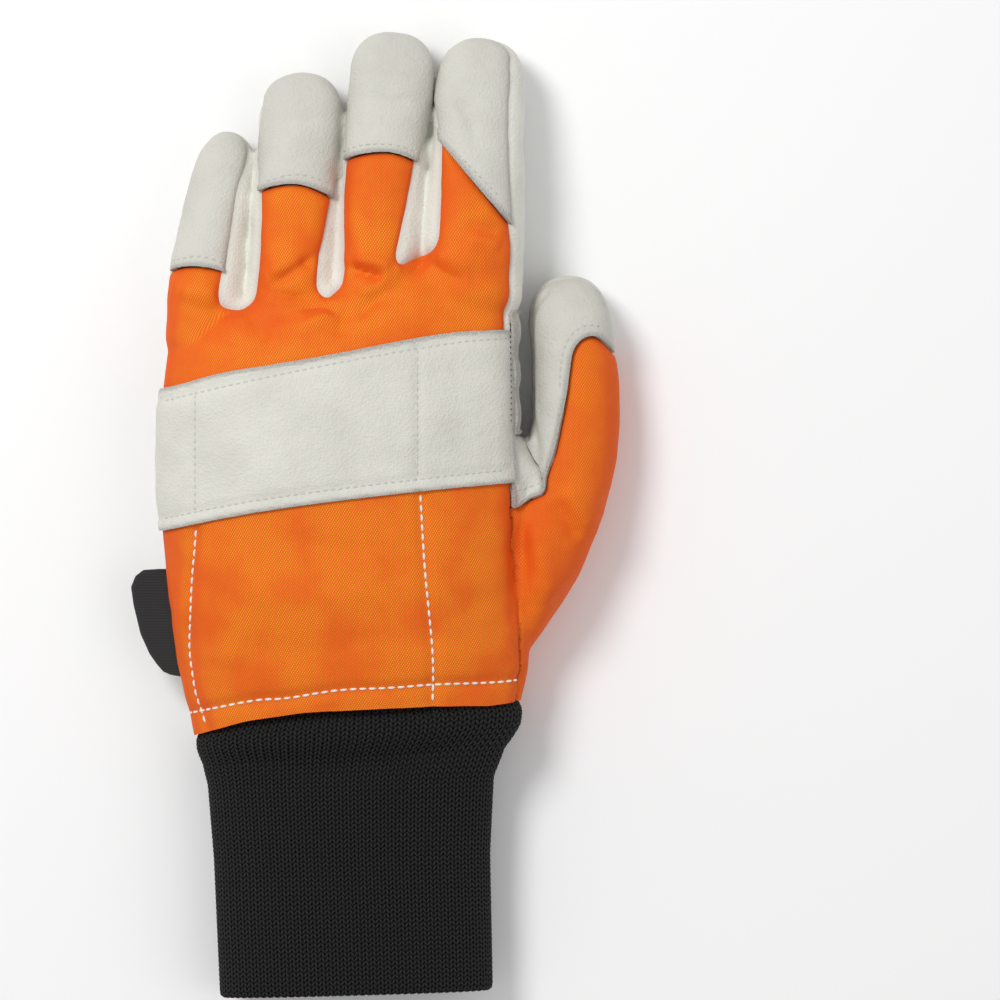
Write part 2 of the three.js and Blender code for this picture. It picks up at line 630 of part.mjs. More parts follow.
// The knitted cuff: its top is tucked into the hand's mouth, and it steps out below the hem
function cuffRing(section, grow) {
  const hand = PALM_SECTIONS[0];
  const left = lerp(section.left * CUFF_WIDTH, hand.left * PALM_WIDTH, section.hand);
  const right = lerp(section.right * CUFF_WIDTH, hand.right * PALM_WIDTH, section.hand);
  const top = lerp(CUFF_DEPTH, hand.top * PALM_DEPTH, section.hand) + grow;
  const floor = hand.floor * PALM_DEPTH - grow;
  const skew = (hand.rightAt - hand.leftAt) * PALM_LENGTH * section.tilt;
  return Array.from({ length: PALM_SIDES }, (_, i) => {
    const turn = (2 * Math.PI * i) / PALM_SIDES;
    const [across, up] = superellipse(turn, (right - left) / 2 + grow, (top - floor) / 2);
    const x = (left + right) / 2 + across;
    const y = skew * ((x - left) / (right - left) - 0.5) - section.down * CUFF_LENGTH;
    return new THREE.Vector3(x, y, Math.max((top + floor) / 2 + up, -grow));
  });
}

function cuff() {
  const tucked = -LEATHER_WALL - SEAM_GAP;
  const pad = BACK_WALL - LEATHER_WALL;
  const neck = PALM_SECTIONS[0];
  const rows = CUFF_SECTIONS;
  const outer = [
    palmRing(neck, tucked, pad, CUFF_TUCK), palmRing(neck, tucked, pad, -SEAM_GAP),
    ...rows.map((section) => cuffRing(section, 0))];
  const end = rows[rows.length - 1];
  const inner = [
    palmRing(neck, tucked - CUFF_WALL, pad, CUFF_TUCK + FAR / 4),
    palmRing(neck, tucked - CUFF_WALL, pad, -SEAM_GAP),
    ...rows.filter((_, i) => i % 2 === 1).map((section) => cuffRing(section, -CUFF_WALL)),
    cuffRing({ ...end, down: end.down + CUFF_BEYOND }, -CUFF_WALL)];
  return loft(outer).subtract(loft(inner));
}
panels.cuff = largest(cuff());

// The label, sewn into the side seam on the little finger's side
const labelMiddle = LABEL_PLACE * PALM_LENGTH;
const labelEdge = readTable(PALM_SECTIONS, LABEL_PLACE, "leftAt", "left") * PALM_WIDTH;
const labelHeight = readTable(SIDE_SEAM, LABEL_PLACE, "along", "up") * PALM_DEPTH;
const LABEL_OUTLINE = [
  { across: 1.2, along: 0.5 }, { across: -0.3, along: 0.5 }, { across: -0.8, along: 0.44 },
  { across: -1, along: 0.32 }, { across: -0.95, along: 0.1 }, { across: -0.75, along: -0.18 },
  { across: -0.4, along: -0.42 }, { across: 0, along: -0.5 }, { across: 1.2, along: -0.5 },
];
const labelShape = LABEL_OUTLINE.map(({ across, along }) => new THREE.Vector2(
  labelEdge + across * LABEL_REACH, labelMiddle + along * LABEL_LENGTH));
const label = prism(labelShape, labelHeight - LABEL_THICKNESS / 2, labelHeight + LABEL_THICKNESS / 2);
panels.side_label = largest(label.subtract(handForm(SEAM_GAP)));

// The assembly: one mesh for each panel, with the origin under the middle of the glove, on its floor
const FINISHES = { back_panel: "fabric", thumb_back: "fabric", cuff: "knit", side_label: "label" };
const glove = new THREE.Group();
for (const [name, solid] of Object.entries(panels)) {
  const finish = FINISHES[name] ?? "leather";
  const material = new THREE.MeshStandardMaterial({ color: COLOURS[finish], roughness: ROUGHNESS });
  const mesh = new THREE.Mesh(geometryOf(solid), material);
  mesh.name = name;
  glove.add(mesh);
}
const size = new THREE.Box3().setFromObject(glove);
const middle = size.getCenter(new THREE.Vector3());
glove.position.set(-middle.x, -middle.y, -size.min.z);

export default glove;
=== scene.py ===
# %% [markdown]
# # A chainsaw glove
# The real glove is sewn from leather and orange fabric, with a black knitted cuff. It lies palm down.
# Everything here is modelled in millimetres around the seam between hand and cuff, and each finished
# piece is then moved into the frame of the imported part, in metres.

import math

import bmesh
import bpy
import numpy as np
from mathutils import Matrix, Vector, noise
from mathutils.bvhtree import BVHTree
from mathutils.kdtree import KDTree


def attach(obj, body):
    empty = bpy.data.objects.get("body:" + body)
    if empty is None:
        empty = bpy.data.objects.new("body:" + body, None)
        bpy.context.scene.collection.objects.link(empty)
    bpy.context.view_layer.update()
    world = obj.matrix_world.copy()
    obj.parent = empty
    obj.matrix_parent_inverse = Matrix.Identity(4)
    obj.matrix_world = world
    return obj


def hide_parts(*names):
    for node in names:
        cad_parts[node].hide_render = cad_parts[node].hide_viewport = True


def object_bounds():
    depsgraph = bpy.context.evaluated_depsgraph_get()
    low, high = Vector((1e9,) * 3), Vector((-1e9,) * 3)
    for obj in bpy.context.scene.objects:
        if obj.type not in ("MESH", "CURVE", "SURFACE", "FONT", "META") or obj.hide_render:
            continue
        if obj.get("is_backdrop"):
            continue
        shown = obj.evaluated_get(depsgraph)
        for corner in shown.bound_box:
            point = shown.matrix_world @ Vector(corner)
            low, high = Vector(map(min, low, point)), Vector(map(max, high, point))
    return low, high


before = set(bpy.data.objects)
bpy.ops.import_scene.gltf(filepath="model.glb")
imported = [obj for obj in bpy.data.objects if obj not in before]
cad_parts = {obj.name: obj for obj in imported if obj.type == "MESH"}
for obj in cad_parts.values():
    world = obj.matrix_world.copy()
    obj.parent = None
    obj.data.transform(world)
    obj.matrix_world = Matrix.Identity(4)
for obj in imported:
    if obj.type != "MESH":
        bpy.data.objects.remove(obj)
cad_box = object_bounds()
scene = bpy.context.scene
print("nodes", sorted(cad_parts))

# %% [markdown]
# ## The camera and the light
# The photograph looks straight down from far away, so a long lens high above the floor gives the same
# flat view. The camera's place is worked out from the width that one pixel of the picture covers.

# %% Camera, floor and lights
# how far the part's own middle lies from the seam at the wrist, in millimetres
SHIFT = Vector((-11.865, -65.013, 0.0))
# one pixel of the picture in millimetres, the picture's side, and where the seam's middle shows in it
PIXEL = 0.32
PICTURE_SIDE = 1000
SEAM_PIXEL = Vector((338.5, 717.0))
# the height that the camera and the lights look at, in metres
GLOVE_MIDDLE = 0.02


def spot(px, py):
    """A point of the picture as across and along, in millimetres."""
    return (px - SEAM_PIXEL.x) * PIXEL, (SEAM_PIXEL.y - py) * PIXEL


def add_camera(distance=2.6):
    data = bpy.data.cameras.new("camera")
    data.lens = data.sensor_width * distance / (PICTURE_SIDE * PIXEL / 1000)
    data.clip_end = 20
    camera = bpy.data.objects.new("camera", data)
    x, y = spot(PICTURE_SIDE / 2, PICTURE_SIDE / 2)
    camera.location = ((x + SHIFT.x) / 1000, (y + SHIFT.y) / 1000, distance + GLOVE_MIDDLE)
    scene.collection.objects.link(camera)
    scene.camera = camera
    return camera


def add_area_light(name, place, size, power, aim=(0.0, 0.0, GLOVE_MIDDLE)):
    data = bpy.data.lights.new(name, "AREA")
    data.shape = "DISK"
    data.size = size
    data.energy = power
    light = bpy.data.objects.new(name, data)
    light.location = place
    light.rotation_euler = (Vector(aim) - Vector(place)).to_track_quat("-Z", "Y").to_euler()
    scene.collection.objects.link(light)


camera = add_camera()
add_area_light("key_light", (-0.55, 0.6, 1.05), 0.5, 9.5)
add_area_light("fill_light", (0.9, -0.2, 1.1), 1.2, 2.5)
world = bpy.data.worlds.new("studio")
world.use_nodes = True
world.node_tree.nodes["Background"].inputs["Color"].default_value = (1, 1, 1, 1)
world.node_tree.nodes["Background"].inputs["Strength"].default_value = 0.5
scene.world = world
scene.view_settings.view_transform = "Standard"
print("camera", tuple(round(c, 3) for c in camera.location), "lens", round(camera.data.lens, 1))

# %% [markdown]
# ## The hand form
# A glove is a flat tube with five tubes growing out of it. The palm is a row of rounded sections, and
# so is each finger. The sections come from a few measured widths, depths and heights. All the tubes
# are joined into one skin with a voxel remesh, which also rounds the crotches between the fingers the
# way that soft leather does. A sculpted mesh would look as good, but this one can be re-measured.

# %% Measurements of the palm and the digits
PALM_WIDTH = 114.0
PALM_LENGTH = 138.0
PALM_DEPTH = 42.0
ROUNDNESS = 2.35
PALM_SECTIONS = np.array([
    # left, right, left at, right at, floor, top
    (-0.400, 0.519, -0.150, -0.080, -0.040, 0.84),
    (-0.405, 0.524, -0.035, 0.035, -0.040, 0.86),
    (-0.451, 0.536, 0.104, 0.139, -0.040, 0.94),
    (-0.475, 0.536, 0.267, 0.313, -0.040, 1.00),
    (-0.492, 0.520, 0.420, 0.500, 0.000, 1.02),
    (-0.503, 0.500, 0.580, 0.680, 0.078, 1.00),
    (-0.497, 0.492, 0.730, 0.830, 0.120, 0.95),
    (-0.484, 0.496, 0.845, 0.950, 0.130, 0.87),
    (-0.462, 0.480, 0.905, 1.050, 0.180, 0.76),
    (-0.420, 0.440, 0.935, 1.085, 0.300, 0.62),
])


def smoothed(rows, rounds):
    """Evens out each row with its two neighbours. The first and the last row stay."""
    for _ in range(rounds):
        rows[1:-1] = 0.25 * rows[:-2] + 0.5 * rows[1:-1] + 0.25 * rows[2:]
    return rows


def spread(table, count, rounds=3):
    """A table spread over more rows, and smoothed."""
    at = np.linspace(0, len(table) - 1, count)
    fine = np.stack([np.interp(at, np.arange(len(table)), column) for column in table.T], axis=1)
    return smoothed(fine, rounds)


def oval(count, half_width, half_height):
    """A rounded section as across and up."""
    turn = np.arange(count) * 2 * math.pi / count
    c, s = np.cos(turn), np.sin(turn)
    power = 2 / ROUNDNESS
    return np.sign(c) * abs(c) ** power * half_width, np.sign(s) * abs(s) ** power * half_height


def through_three(values, t):
    """The smooth curve through a value at the root, one in the middle and one at the tip."""
    root, middle, tip = values
    t = np.clip(t, 0, 1)
    return root * (1 - t) * (1 - 2 * t) + 4 * middle * t * (1 - t) + tip * t * (2 * t - 1)


class Digit:
    """One finger or the thumb: its centre line, its girth and a point's place along and around it."""

    def __init__(self, root, reach, bow, widths, depths, heights, tip):
        self.root = np.array([root[0] * PALM_WIDTH, root[1] * PALM_LENGTH])
        self.reach = np.array(reach)
        self.length = float(np.hypot(*reach))
        self.bow, self.widths, self.depths, self.heights, self.tip = bow, widths, depths, heights, tip

    def line(self, t):
        """Places on the centre line, with the directions across and along it."""
        t = np.atleast_1d(np.asarray(t, float))
        side = np.array([self.reach[1], -self.reach[0]]) / self.length
        inside = np.clip(t, 0, 1)
        bend = np.sin(math.pi * inside) * self.bow
        centre = self.root + t[:, None] * self.reach + bend[:, None] * side
        turn = math.pi * np.cos(math.pi * inside) * self.bow
        heading = self.reach + turn[:, None] * side
        heading /= np.linalg.norm(heading, axis=1)[:, None]
        return centre, np.stack([heading[:, 1], -heading[:, 0]], axis=1), heading

    def place(self, points):
        """Share of the length, share of the half width and share of the half depth of each point."""
        t = np.linspace(-0.2, 1.15, 82)
        centre, side, heading = self.line(t)
        gap = ((points[:, None, :2] - centre[None]) ** 2).sum(axis=2)
        near = gap.argmin(axis=1)
        away = points[:, :2] - centre[near]
        share = t[near] + (away * heading[near]).sum(axis=1) / self.length
        across = (away * side[near]).sum(axis=1) / (through_three(self.widths, share) / 2)
        up = (points[:, 2] - through_three(self.heights, share)) / (through_three(self.depths, share) / 2)
        return share, across, up

    def rings(self, count, slim=0.5):
        """The digit's sections: the shaft, then the rounded end, which closes like an oval."""
        tip_share = self.tip / self.length
        shaft = [(-0.09, 0.6), (-0.03, 0.9)]
        shaft += [(t, 1.0) for t in np.linspace(0.02, 1 - tip_share - 0.02, 16)]
        ahead = (1, 0.75, 0.5, 0.3, 0.16, 0.07, 0.02, 0.002)
        end = [(1 - tip_share * left, (1 - (1 - left) ** 2.5) ** 0.4) for left in ahead]
        rows = []
        for t, girth in shaft + end:
            centre, side, _ = self.line(t)
            half_width = through_three(self.widths, t) / 2 * girth - slim
            half_depth = through_three(self.depths, t) / 2 * girth - slim * 0.4
            across, up = oval(count, max(half_width, 0.4), max(half_depth, 0.4))
            spots = centre + across[:, None] * side
            height = np.maximum(through_three(self.heights, t) + up, 0)
            rows.append([Vector((x, y, z)) for (x, y), z in zip(spots, height)])
        return rows


DIGIT_TABLE = {
    # root as shares of the palm, reach, bow, then widths, depths and heights at root, middle and tip,
    # and how long the rounded tip is
    "little": ((-0.386, 0.858), (9.9, 69.3), -1.4, (24.5, 23.4, 17.6), (24, 22, 19), (18, 15, 9.6), 14),
    "ring": ((-0.142, 0.893), (4.8, 83.2), 0.2, (28.5, 27.8, 27.4), (26, 24, 20.5), (19.5, 17, 10.6), 15),
    "middle": ((0.1, 0.904), (6.8, 94.9), -0.5, (29.6, 27.6, 28.6), (27, 25, 21.5), (19.5, 17.5, 11), 16),
    "index": ((0.366, 0.962), (4.5, 84.6), 0.0, (34, 30.4, 27.4), (27, 26, 22), (19.5, 18.5, 12), 15),
    "thumb": ((0.365, 0.115), (30.7, 125.1), 16.0, (24, 28.6, 25.8), (25, 28, 22.5), (17, 14, 11), 16),
}
DIGITS = {name: Digit(*row) for name, row in DIGIT_TABLE.items()}
FINGERS = ["little", "ring", "middle", "index"]
print("digit lengths", {name: round(digit.length) for name, digit in DIGITS.items()})

# %% [markdown]
# A loft is a circle whose edge is extruded again and again. After each extrusion the new ring is laid
# onto the next section.

# %% Loft the tubes and join them


def loft(bm, rings, capped=True):
    """Skins a row of rings and returns the first and the last ring's edges."""
    made = bmesh.ops.create_circle(bm, cap_ends=False, segments=len(rings[0]), radius=1.0)
    row = list(made["verts"])
    for vert, point in zip(row, rings[0]):
        vert.co = point
    first = list({edge for vert in row for edge in vert.link_edges})
    edges = first
    for ring in rings[1:]:
        grown = bmesh.ops.extrude_edge_only(bm, edges=edges)["geom"]
        fresh = {item for item in grown if isinstance(item, bmesh.types.BMVert)}
        row = [next(e.other_vert(v) for e in v.link_edges if e.other_vert(v) in fresh) for v in row]
        for vert, point in zip(row, ring):
            vert.co = point
        edges = [e for e in grown if isinstance(e, bmesh.types.BMEdge) and fresh.issuperset(e.verts)]
    if capped:
        for rim in (first, edges):
            bmesh.ops.contextual_create(bm, geom=rim)
    return first, edges


def palm_rings(rows, count, slim=0.3):
    """The palm's sections in millimetres, each one slanted between its two sides."""
    rings = []
    for left, right, left_at, right_at, floor, top in spread(PALM_SECTIONS, rows):
        left, right = left * PALM_WIDTH, right * PALM_WIDTH
        floor, top = floor * PALM_DEPTH, top * PALM_DEPTH
        across, up = oval(count, (right - left) / 2 - slim, (top - floor) / 2 - slim)
        x = (left + right) / 2 + across
        y = (left_at + (right_at - left_at) * (x - left) / (right - left)) * PALM_LENGTH
        z = np.maximum((top + floor) / 2 + up, 0)
        rings.append([Vector(point) for point in zip(x, y, z)])
    return rings


def evaluated(bm, name, kind, **settings):
    """The bmesh after one modifier, as a new bmesh."""
    mesh = bpy.data.meshes.new(name)
    bm.to_mesh(mesh)
    bm.free()
    stand = bpy.data.objects.new(name, mesh)
    scene.collection.objects.link(stand)
    modifier = stand.modifiers.new(name, kind)
    for key, value in settings.items():
        setattr(modifier, key, value)
    graph = bpy.context.evaluated_depsgraph_get()
    result = bmesh.new()
    result.from_object(stand, graph)
    bpy.data.objects.remove(stand)
    bpy.data.meshes.remove(mesh)
    return result


def relax(bm, verts, rounds):
    """Moves the points towards the middle of their neighbours, again and again."""
    for _ in range(rounds):
        bmesh.ops.smooth_vert(bm, verts=verts, factor=0.5, use_axis_x=True, use_axis_y=True, use_axis_z=True)


VOXEL, COARSE_VOXEL = 0.95, 4.5
WEBS = [
    # picture across, picture down, height, then the radii across, along and up, and smoothing rounds
    (524, 466, 18, 6.0, 10.0, 9.5, 45),
    (243, 287, 12, 6.0, 7.0, 8.0, 26),
    (332, 279, 13, 4.5, 7.0, 9.0, 16),
    (424, 240, 13, 5.5, 8.0, 9.0, 16),
    (205, 356, 9, 7.0, 10.0, 4.5, 45),
]
hand = bmesh.new()
loft(hand, palm_rings(40, 96))
for digit in DIGITS.values():
    loft(hand, digit.rings(48))
for px, py, up, *radii, _ in WEBS:
    place = Matrix.Translation((*spot(px, py), up)) @ Matrix.Diagonal((*radii, 1.0))
    bmesh.ops.create_icosphere(hand, subdivisions=3, radius=1.0, matrix=place)
bmesh.ops.recalc_face_normals(hand, faces=hand.faces)
hand = evaluated(hand, "hand_form", "REMESH", mode="VOXEL", voxel_size=VOXEL, adaptivity=0.0)
relax(hand, hand.verts, 5)
for px, py, up, *radii, rounds in WEBS:
    middle = Vector((*spot(px, py), up))
    near = [vert for vert in hand.verts
            if all(abs(vert.co[k] - middle[k]) < 2.0 * radii[k] for k in range(3))]
    relax(hand, near, rounds)
coarse = evaluated(hand.copy(), "coarse_form", "REMESH", mode="VOXEL", voxel_size=COARSE_VOXEL,
                   adaptivity=0.0)
print("hand form", len(hand.verts), "points, coarse copy", len(coarse.verts))

# %% [markdown]
# ## The seams
# Each seam is the zero line of a distance, measured in millimetres at every point of the skin: how far
# the point lies inside a panel's outline, or round a finger from the strip's edge. The skin is cut
# along that line with bisect_plane. For the cut, the distance takes the place of the point's x, so
# that the curved seam becomes a flat plane, and afterwards every point goes back to its own place.

# %% Distances that the seams follow
# share of the finger's length, then the strip's left and right edge as shares of the half width
BACK_STRIPS = {
    "little": [(0, -1, 0.38), (0.27, -1, 0.37), (0.53, -1, 0.54), (0.75, -1, 0.56), (0.88, -1, 0.75),
               (1, -1, 1)],
    "ring": [(0, -0.88, 0.6), (0.24, -0.82, 0.64), (0.38, -0.83, 0.74), (0.53, -0.88, 0.86), (0.64, -1, 1),
             (1, -1, 1)],
    "middle": [(0, -0.72, 0.4), (0.24, -0.84, 0.41), (0.41, -0.92, 0.64), (0.55, -0.96, 0.74), (0.66, -1, 1),
               (1, -1, 1)],
    "index": [(0, -0.66, 0.78), (0.25, -0.7, 0.76), (0.61, -0.84, 0.7), (0.74, -1, 0.68), (0.9, -1, 0.74),
              (1, -1, 1)],
}
FRONT_STRIPS = {
    "little": [(0, -1, 0.66), (0.75, -1, 0.66), (0.9, -1, 1), (1, -1, 1)],
    "ring": [(0, -0.66, 0.66), (0.7, -0.68, 0.68), (0.88, -1, 1), (1, -1, 1)],
    "middle": [(0, -0.66, 0.66), (0.7, -0.68, 0.68), (0.88, -1, 1), (1, -1, 1)],
    "index": [(0, -0.66, 1), (0.7, -0.68, 1), (0.88, -1, 1), (1, -1, 1)],
}
# the other seams as shares of the palm's width and length
CROTCH_LINE = [(-0.6, 0.9), (-0.32, 0.949), (-0.254, 0.945), (-0.049, 0.963), (-0.018, 0.97), (0.187, 1.043),
               (0.254, 1.083), (0.478, 1.1)]
BACK_RIGHT_EDGE = [(0.462, 1.02), (0.467, 0.9), (0.472, 0.73), (0.482, 0.545), (0.49, 0.489), (0.511, 0.267),
                   (0.517, 0.11), (0.508, 0.02), (0.5, -0.3)]
BAND_TOP = [(-0.62, 0.748), (-0.487, 0.758), (-0.29, 0.798), (-0.058, 0.826), (0.175, 0.866),
            (0.313, 0.888), (0.477, 0.896)]
BAND_BOTTOM = [(0.495, 0.544), (0.229, 0.523), (-0.058, 0.495), (-0.29, 0.466), (-0.5, 0.428), (-0.62, 0.424)]
GUSSET = [(0.474, 0.662), (0.52, 0.665), (0.56, 0.59), (0.588, 0.522), (0.54, 0.505), (0.486, 0.482)]
THUMB_BACK_EDGE = [(0.588, 0.522), (0.577, 0.547), (0.608, 0.612), (0.626, 0.682), (0.644, 0.756),
                   (0.654, 0.848), (0.678, 0.875), (0.71, 0.886), (0.74, 0.875), (0.79, 0.83)]
THUMB_FRONT_EDGE = [(0.79, 0.84), (0.735, 0.86), (0.69, 0.835), (0.655, 0.73), (0.59, 0.6), (0.49, 0.43),
                    (0.35, 0.26), (0.235, 0.12), (0.14, -0.3)]
PATCH_TOP = [(-0.62, 0.905), (-0.02, 0.915), (0.517, 0.945)]
PATCH_BOTTOM = [(0.517, 0.655), (-0.02, 0.62), (-0.62, 0.61)]
SIDE_SEAM = [(-0.3, 0.36), (0.3, 0.42), (0.75, 0.46), (1.1, 0.44)]
CAP_LINES = {
    "little": [(-1.4, 0.3), (-0.5, 0.36), (0.2, 0.36), (1.4, 0.3)],
    "ring": [(-1.4, 0.49), (-0.6, 0.55), (0.0, 0.57), (0.5, 0.545), (1.4, 0.48)],
    "middle": [(-1.4, 0.53), (-0.5, 0.575), (0.1, 0.59), (0.5, 0.575), (1.4, 0.53)],
    "index": [(-1.4, 0.67), (-0.85, 0.615), (-0.1, 0.46), (0.76, 0.29), (1.4, 0.16)],
}
# the hem at the wrist in millimetres, and the height at which the thumb's back turns into its front
HEM = [(-60, -9), (-46.2, -5.8), (-29.6, -1.0), (-10.4, 1.9), (8.5, 2.9), (29.9, 3.8), (48.8, 3.8),
       (56.8, 4.8), (70, 6)]
THUMB_MIDDLE = 14.0


def laid(*lines):
    """Outline points in millimetres from lines of shares, each line made smooth."""
    points = []
    for line in lines:
        shares = np.array(line, float)
        if len(shares) > 2:
            shares = spread(shares, 6 * len(shares), 8)
        points.append(shares * (PALM_WIDTH, PALM_LENGTH))
    return np.concatenate(points)


FAR = 1e9


def from_edge(points, a, b):
    """Distance seen from above to a straight edge, and the share of its length at the nearest place."""
    x, y = points[:, 0] - a[0], points[:, 1] - a[1]
    edge = b - a
    share = np.clip((x * edge[0] + y * edge[1]) / max(float(edge @ edge), 1e-12), 0, 1)
    return np.hypot(x - share * edge[0], y - share * edge[1]), share


def inside(outline, points):
    """Distance to an outline seen from above, positive inside it."""
    x, y = points[:, 0], points[:, 1]
    nearest = np.full(len(points), FAR)
    crossed = np.zeros(len(points), bool)
    for a, b in zip(outline, np.roll(outline, -1, axis=0)):
        nearest = np.minimum(nearest, from_edge(points, a, b)[0])
        if a[1] != b[1]:
            crosses = (a[1] > y) != (b[1] > y)
            crossed ^= crosses & (x < a[0] + (y - a[1]) / (b[1] - a[1]) * (b[0] - a[0]))
    return np.where(crossed, nearest, -nearest)


def rounded_max(a, b, radius=1.6):
    """The greater of two distances, with the corner between them rounded."""
    high = np.maximum(a, b)
    return high + radius * np.log(np.exp((a - high) / radius) + np.exp((b - high) / radius))


def strip(name, table, facing, spots):
    """Distance round a finger into the strip between its two edges, positive inside it."""
    digit = DIGITS[name]
    share, across, up = spots[name]
    girth = (through_three(digit.widths, share) + through_three(digit.depths, share)) / 4
    turn = np.arctan2(up * facing, across)
    rows = np.array(table[name])

    def edge(column):
        s = np.clip(np.interp(share, rows[:, 0], rows[:, column]), -1, 1)
        return np.arctan2((1 - abs(s) ** ROUNDNESS) ** (1 / ROUNDNESS), s)

    past_left = np.where(turn < -math.pi / 2, turn + 2 * math.pi, turn)
    sides = np.minimum((turn - edge(2)) * girth, (edge(1) - past_left) * girth)
    return np.minimum(sides, share * digit.length)


def nearest_finger(spots):
    """Which finger's centre line each point is nearest to, across the hand."""
    return np.stack([abs(spots[name][1]) for name in FINGERS]).argmin(axis=0)


def own(name, points):
    """Which points are nearer to this finger than to any other."""
    return nearest_finger({n: DIGITS[n].place(points) for n in FINGERS}) == FINGERS.index(name)


# the distance of a point that is on no finger
OUTSIDE_STRIPS = -9.0


def in_strips(table, facing, points):
    """Each finger's strip, for the points that lie high enough to be on a finger."""
    high = points[:, 1] > 0.8 * PALM_LENGTH
    spots = {name: DIGITS[name].place(points[high]) for name in FINGERS}
    nearest = nearest_finger(spots)
    best = np.full(int(high.sum()), OUTSIDE_STRIPS)
    for i, name in enumerate(FINGERS):
        best = np.where(nearest == i, np.maximum(best, strip(name, table, facing, spots)), best)
    result = np.full(len(points), OUTSIDE_STRIPS)
    result[high] = best
    return result


def read_off(table, at):
    """Reads a table of two columns at any place between its rows."""
    first, second = np.array(table).T
    return np.interp(at, first, second)


def seam_height(points):
    """How high the side seam runs, between the back of the hand and the palm."""
    return read_off(SIDE_SEAM, points[:, 1] / PALM_LENGTH) * PALM_DEPTH


BACK_OUTLINE = laid(CROTCH_LINE, BACK_RIGHT_EDGE, [(-0.7, -0.3), (-0.7, 0.9)])
FRONT_OUTLINE = laid(CROTCH_LINE, [(0.7, 1.1), (0.7, -0.3), (-0.7, -0.3), (-0.7, 0.9)])
THUMB_TOP_OUTLINE = laid(THUMB_BACK_EDGE, [(1, 0.83), (1, -0.3)], BACK_RIGHT_EDGE[:3:-1])
THUMB_UNDER_OUTLINE = laid(THUMB_FRONT_EDGE, [(1, -0.3), (1, 0.84)])
THUMB_OUTLINE = laid([(0.53, 1.1), (0.53, 0.48)], [(1, 0.48), (1, 1.1)])
BAND_OUTLINE = laid(BAND_TOP, BAND_BOTTOM)
PATCH_OUTLINE = laid(PATCH_TOP, PATCH_BOTTOM)


def in_back(points):
    """Inside the orange back: the hand above its side seam, with the strips up the fingers."""
    body = np.minimum(inside(BACK_OUTLINE, points), points[:, 2] - seam_height(points))
    return rounded_max(body, in_strips(BACK_STRIPS, 1, points))


def in_front(points):
    """Inside the palm: the hand below its side seam, with the strips under the fingers."""
    body = np.minimum(inside(FRONT_OUTLINE, points), seam_height(points) - points[:, 2])
    return rounded_max(body, in_strips(FRONT_STRIPS, -1, points), 2.4)


def in_thumb_back(points):
    """Inside the orange piece that runs round the outer side of the thumb, seen from above and below."""
    above = np.minimum(inside(THUMB_TOP_OUTLINE, points), points[:, 2] - THUMB_MIDDLE)
    below = np.minimum(inside(THUMB_UNDER_OUTLINE, points), THUMB_MIDDLE - points[:, 2])
    return np.maximum(above, below)


def in_gusset(points):
    """Inside the small triangle between thumb and hand."""
    return np.minimum(inside(laid(GUSSET), points), points[:, 2] - THUMB_MIDDLE)


def in_thumb(points):
    """Inside the thumb, from its root on."""
    return inside(THUMB_OUTLINE, points)


def beyond_cap(name):
    """A finger's distance past the lower edge of its cap, towards the tip."""
    digit = DIGITS[name]
    fine = np.linspace(-1.4, 1.4, 29)
    line = smoothed(read_off(CAP_LINES[name], fine), 6)
    lean = abs(line[-1] - line[0]) * digit.length / 30

    def distance(points):
        share, across, _ = digit.place(points)
        return (share - np.interp(across, fine, line)) * digit.length / math.hypot(1, lean)
    return distance


def beyond_root(name):
    """A finger's distance past the seam at its root on the palm side, which is slightly curved."""
    def distance(points):
        share, across, _ = DIGITS[name].place(points)
        return (share - 0.12 - 0.035 * across ** 2) * DIGITS[name].length
    return distance


# the knuckle band and the palm patch end this far from the side seam
SEAM_MARGIN = 0.5


def in_band(points):
    """Inside the band over the knuckles."""
    return np.minimum(inside(BAND_OUTLINE, points), points[:, 2] - seam_height(points) - SEAM_MARGIN)


def in_patch(points):
    """Inside the palm's patch, which wraps up both sides of the hand as far as the back panel."""
    x, z, seam = points[:, 0], points[:, 2], seam_height(points)
    top = np.where(x > 40, 0.7 * PALM_DEPTH, np.where(x < -30, 13.0, seam - SEAM_MARGIN))
    beside = np.where(z > seam - 2, -inside(BACK_OUTLINE, points) - 1.2, FAR)
    return np.minimum(np.minimum(inside(PATCH_OUTLINE, points), top - z), beside)


def above_hem(points):
    """Past the hem at the wrist, towards the fingers."""
    return points[:, 1] - read_off(HEM, points[:, 0])


print("outlines", len(BACK_OUTLINE), "points round the back panel")

# %% Cut the skin along each seam


def places(bm):
    """All the points of a bmesh as an array."""
    return np.array([vert.co[:] for vert in bm.verts])


# points closer than this to a cut move onto it, and points closer than the second are merged
SNAP, MERGE = 0.12, 0.22


